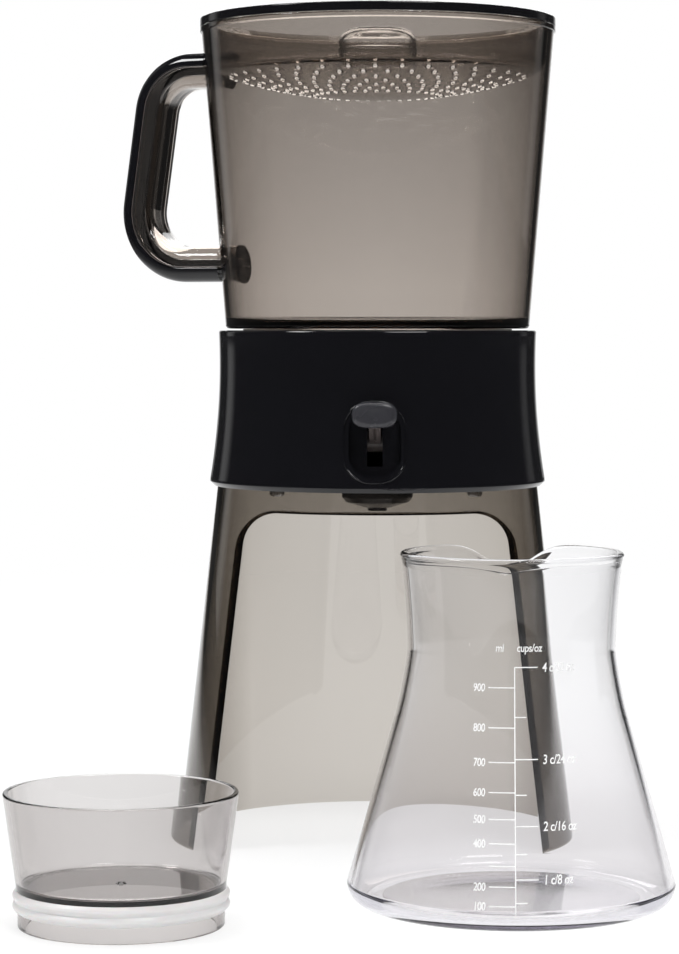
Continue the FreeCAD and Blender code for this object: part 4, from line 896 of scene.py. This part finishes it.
def carafe_side(inset, floor):
    """Outline corners up the carafe's wall from a height, drawn in by inset."""
    foot, belly, shoulder = (59.0 - inset, floor), (69.3 - inset, 9.0), (49.0 - inset, 79.5)
    waist, rim = (43.6 - inset, 108.0), (46.6 - inset, CARAFE_H)
    return [foot, (foot[0] + 0.76 * (belly[0] - foot[0]), foot[1] + 0.32 * (belly[1] - foot[1]), "via"),
            belly, shoulder,
            (shoulder[0] * 0.36 + waist[0] * 0.64, (shoulder[1] + waist[1]) / 2 + 1.2, "via"), waist,
            (waist[0] + 0.33 * (rim[0] - waist[0]), (waist[1] + rim[1]) / 2, "via"), rim]


def fire_polished(line, hand):
    """The line with a bead at the rim: hand * 0.5 * exp(-((H - z) / 2) ** 2) added to its radius."""
    swell = 0.5 * np.exp(-((CARAFE_H - line[:, 1]) / 2.0) ** 2)
    return np.stack([line[:, 0] + hand * swell, line[:, 1]], -1)


outside = fire_polished(outline(carafe_side(0.0, 0.0), closed=False), 1)
inside = fire_polished(outline(carafe_side(GLASS, BASE), closed=False), -1)[::-1]
crown = (outside[-1] + inside[0]) / 2 + (0, 0.9)
bead = arc_through(outside[-1] - (0, 0.6), crown, inside[0] - (0, 0.6), 10)
profile = np.concatenate([[(0, 1.2), (30, 0.7), (54, 0.0)], outside[:-1], bead, inside[1:],
                          [(50, BASE), (0, BASE + 0.7)]])
a = circle(320)
spread = np.exp(-(np.angle(np.exp(1j * (a - np.pi / 2))) / POUR_WIDE) ** 2)
lift = np.clip((profile[:, 1:] - POUR_FROM) / (CARAFE_H - POUR_FROM), 0, 1) ** 2
lip_r, lip_z = profile[:, :1] + POUR_OUT * lift * spread, profile[:, 1:] - POUR_DOWN * lift * spread
flask = polar(lip_r, a, lip_z, CARAFE_X, CARAFE_Y)
piece("blown_flask", "carafe", [(flask, True, True)], glass, ["carafe_glass"], sharp=60)

# %% [markdown]
# ## Printed scale
#
# The marks stand where the carafe holds each amount, so their heights aren't typed in: the
# inside is summed up in thin discs, and each mark is read from that sum. The ink is a thin
# skin just off the glass, and each letter's flat outline is bent round the wall.

# %% Heights of the marks
INK_LIFT, INK_HALF = 0.06, 0.225
ML_PER_OUNCE = 29.574
height = np.linspace(BASE, CARAFE_H, 1500)
bore = np.interp(height, inside[::-1, 1], inside[::-1, 0])
held = np.concatenate([[0], np.cumsum(np.pi * bore[1:] ** 2 * np.diff(height))]) / 1000


def mark_height(millilitres):
    """Height at which the carafe holds an amount: the sum of pi r r dz reaches it."""
    return float(np.interp(millilitres, held, height))


def on_glass(across, up):
    """Point just off the front of the carafe: a length round the wall becomes an angle, across / r."""
    r = np.interp(up, outside[:, 1], outside[:, 0]) + INK_LIFT
    return polar(r, -np.pi / 2 + across / r, up, CARAFE_X, CARAFE_Y)


print("marks at", [round(mark_height(n), 1) for n in (100, 500, 900)], "mm")


# %% Marks and letters
LETTER_WIDTH = 0.77
ML_TICK, CUP_TICK, ML_NUMBER, CUP_NUMBER = 10.8, 9.4, -12.2, 11.3
LINE_FOOT, TITLE_RISE = 8.0, 8.0


def line_sheet(left, right, low, high):
    """Flat stroke between two widths and two heights, bent round the glass."""
    across, up = np.meshgrid(np.linspace(left, right, 9), np.linspace(low, high, 25 if high - low > 2 else 2))
    return on_glass(across, up), False, False


def lettering(name, text, across, up, size, align, body="carafe"):
    """Text made flat, then each corner sent to its place on the glass, in mm."""
    curve = bpy.data.curves.new(name, "FONT")
    curve.body, curve.size, curve.align_x, curve.shear, curve.offset = text, size, align, 0.1, 0.012 * size
    curve.space_character = 0.96
    source = bpy.data.objects.new(name + "_curve", curve)
    flat_mesh = bpy.data.meshes.new_from_object(source)
    bpy.data.objects.remove(source)
    points = np.empty(3 * len(flat_mesh.vertices))
    flat_mesh.vertices.foreach_get("co", points)
    points = points.reshape(-1, 3)
    placed = on_glass(across + points[:, 0] * LETTER_WIDTH, up + points[:, 1] - size * 0.35) * MM
    flat_mesh.vertices.foreach_set("co", placed.ravel())
    flat_mesh.update()
    made = new_object(name, flat_mesh)
    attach(made, body)
    dress(made, white_ink)


top_mark = mark_height(32 * ML_PER_OUNCE)
strokes = [line_sheet(-INK_HALF, INK_HALF, LINE_FOOT, top_mark)]
for amount in range(100, 1000, 100):
    up = mark_height(amount)
    strokes.append(line_sheet(-ML_TICK, 0, up - INK_HALF, up + INK_HALF))
    if amount != 300:
        lettering(f"mark_{amount}_ml", str(amount), ML_NUMBER, up, 4.5, "RIGHT")
for cups in range(1, 9):
    up = mark_height(4 * cups * ML_PER_OUNCE)
    whole = cups % 2 == 0
    strokes.append(line_sheet(0, CUP_TICK if whole else CUP_TICK / 2, up - INK_HALF, up + INK_HALF))
    if whole:
        lettering(f"mark_{cups // 2}_cups", f"{cups // 2} c/{4 * cups} oz", CUP_NUMBER, up, 5.2, "LEFT")
lettering("mark_title_ml", "ml", -4.4, top_mark + TITLE_RISE, 4.6, "RIGHT")
lettering("mark_title_cups", "cups/oz", 0.8, top_mark + TITLE_RISE, 4.6, "LEFT")
piece("scale_strokes", "carafe", strokes, white_ink)

# %% Stopper cup and seal
CUP_X, CUP_Y, CUP_FLOOR, CUP_TOP = -100.6, -224.5, 17.0, 54.8
SEAT_R, SEAT_LOW, SEAT_HIGH, SEAL_GAP = 41.0, 6.8, 15.2, 0.05  # where the seal sits
RIB_R, RIB_HALF = 44.35, 1.0
piece("stopper_shell", "cup", [turned(outline([
    (38.9, 0, 0.5), (42.2, 0, 0.8), (42.2, SEAT_LOW), (SEAT_R, SEAT_LOW), (SEAT_R, SEAT_HIGH),
    (42.9, SEAT_HIGH, 0.5), (42.9, CUP_FLOOR), (48.1, CUP_TOP, 0.8), (46.0, CUP_TOP, 0.8),
    (40.8, CUP_FLOOR, 2.0), (2.4, CUP_FLOOR, 0.4), (1.0, 17.9, 0.4), (0, 17.9), (0, 14.6),
    (38.9, 14.6, 1.0)]), 240, CUP_X, CUP_Y)], smoky_light, ["stopper_cup"])
low_rib, high_rib = [[(RIB_R - 0.45, z - RIB_HALF, 0.9), (RIB_R, z, 0.9), (RIB_R - 0.45, z + RIB_HALF, 0.9)]
                     for z in (8.9, 13.1)]
seal_in, seal_low, seal_high = SEAT_R + SEAL_GAP, SEAT_LOW + SEAL_GAP, SEAT_HIGH - SEAL_GAP
piece("stopper_ribs", "cup", [turned(outline(
    [(seal_in, seal_low), (42.9, seal_low)] + low_rib + [(43.1, 11.0, 0.4)] + high_rib
    + [(42.9, seal_high), (seal_in, seal_high)]), 240, CUP_X, CUP_Y)],
    white_silicone, ["stopper_seal"])

# %% [markdown]
# ## Camera, stage and light
#
# The picture is taken from 1.4 metres with a long lens, a little above the collar. The
# stage is a white floor that runs on to a white world. Soft boxes stand left and right of
# the camera, above and behind.

# %% Camera
LEFT_TURN, DOWN_TILT = math.radians(1.63), math.radians(2.98)
camera = new_object("camera", bpy.data.cameras.new("camera"))
camera.data.lens = 113.7
camera.location = (0.0228, -1.438, 0.2458)
aim = Vector((-math.sin(LEFT_TURN), math.cos(LEFT_TURN), -math.tan(DOWN_TILT)))
camera.rotation_euler = aim.to_track_quat("-Z", "Y").to_euler()
bpy.context.scene.camera = camera
print("camera at", camera.location)

# %% World
# The camera sees plain white. Rays through or off a piece see white only straight behind it,
# and greys near the sides; the rest is dim, so that polished black stays black.
DARK, MATT = 0.03, 0.42
world = bpy.data.worlds.new("studio")
scene.world = world
world.use_nodes = True
tree = world.node_tree
tree.nodes.clear()
way = Wire(tree, tree.nodes.new("ShaderNodeTexCoord").outputs["Generated"])
seen, passed, mirrored = way.rays("Camera", "Transmission", "Glossy")
sharp = passed | mirrored
right, forward = way.axis(0), way.axis(1)
across = right.maths("ABSOLUTE")
behind = across.fit(0.17, 0.36, 1.0, DARK) * forward.fit(0.0, 0.3, 0.0, 1.0) | DARK
edges = across.fit(0.62, 0.70, 0.0, 1.0) * across.fit(0.76, 0.84, 1.0, 0.0) * forward.fit(0.2, 0.3, 0.0, 1.0)
strips = mirrored * edges * right.fit(-0.1, 0.1, 0.40, 0.18)
around = passed * (across.fit(0.60, 0.70, 0.0, 0.6) | forward.fit(-0.3, -0.1, 0.6, 0.0))
strength = seen | sharp * behind | around | strips | (1 - sharp) * MATT
background = way.node("Background", {"Color": (1, 1, 1, 1), "Strength": strength})
background.into(tree.nodes.new("ShaderNodeOutputWorld"))
print("world ready")

# %% Floor
# Away from the object the floor glows, so that it runs on to the white world. To the sides
# it is dark where a clear or polished piece shows it.
floor_mesh = bpy.data.meshes.new("floor")
floor_mesh.from_pydata([(-6, -0.75, 0), (6, -0.75, 0), (6, 9, 0), (-6, 9, 0)], [], [(0, 1, 2, 3)])
floor = new_object("floor", floor_mesh)
floor_finish, output, place = finish_called("white_floor")
seen, passed, mirrored = place.rays("Camera", "Transmission", "Glossy")
away = place.vector_maths("LENGTH", out="Value").fit(0.45, 1.5, 0.72, 1.0)
middle = (place.axis(0).maths("ABSOLUTE") - place.axis(1) * 0.12).fit(0.34, 0.64, 1.0, 0.05)
paint = place.node("BsdfDiffuse", {"Color": (0.9, 0.9, 0.9, 1)})
glow = place.node("Emission", {"Color": (1, 1, 1, 1), "Strength": middle | seen})
both = place.node("MixShader", {0: (seen | passed | mirrored) * away, 1: paint, 2: glow})
both.into(output)
dress(floor, floor_finish)


# %% Soft boxes
def soft_box(name, place, wide, tall, watts, aim_at=(0, 0, 0.2)):
    """Rectangular lamp at a place, turned to face a point."""
    data = bpy.data.lights.new(name, "AREA")
    data.shape, data.size, data.size_y, data.energy = "RECTANGLE", wide, tall, watts
    lamp = new_object(name, data)
    lamp.location = place
    lamp.rotation_euler = (Vector(aim_at) - Vector(place)).to_track_quat("-Z", "Y").to_euler()


soft_box("left_box", (-1.35, -0.5, 1.65), 0.5, 0.5, 14)
soft_box("right_box", (0.65, -1.35, 1.7), 0.9, 0.5, 18)
soft_box("top_box", (0.0, 0.1, 1.9), 1.4, 1.0, 16, (0, 0, 0.1))
soft_box("back_box", (0.0, 2.2, 1.5), 2.4, 1.2, 26)
scene.view_settings.view_transform = "Standard"
scene.cycles.max_bounces = 28
scene.cycles.transmission_bounces = 28
scene.cycles.transparent_max_bounces = 24
scene.cycles.glossy_bounces = 6
print("lamps ready")
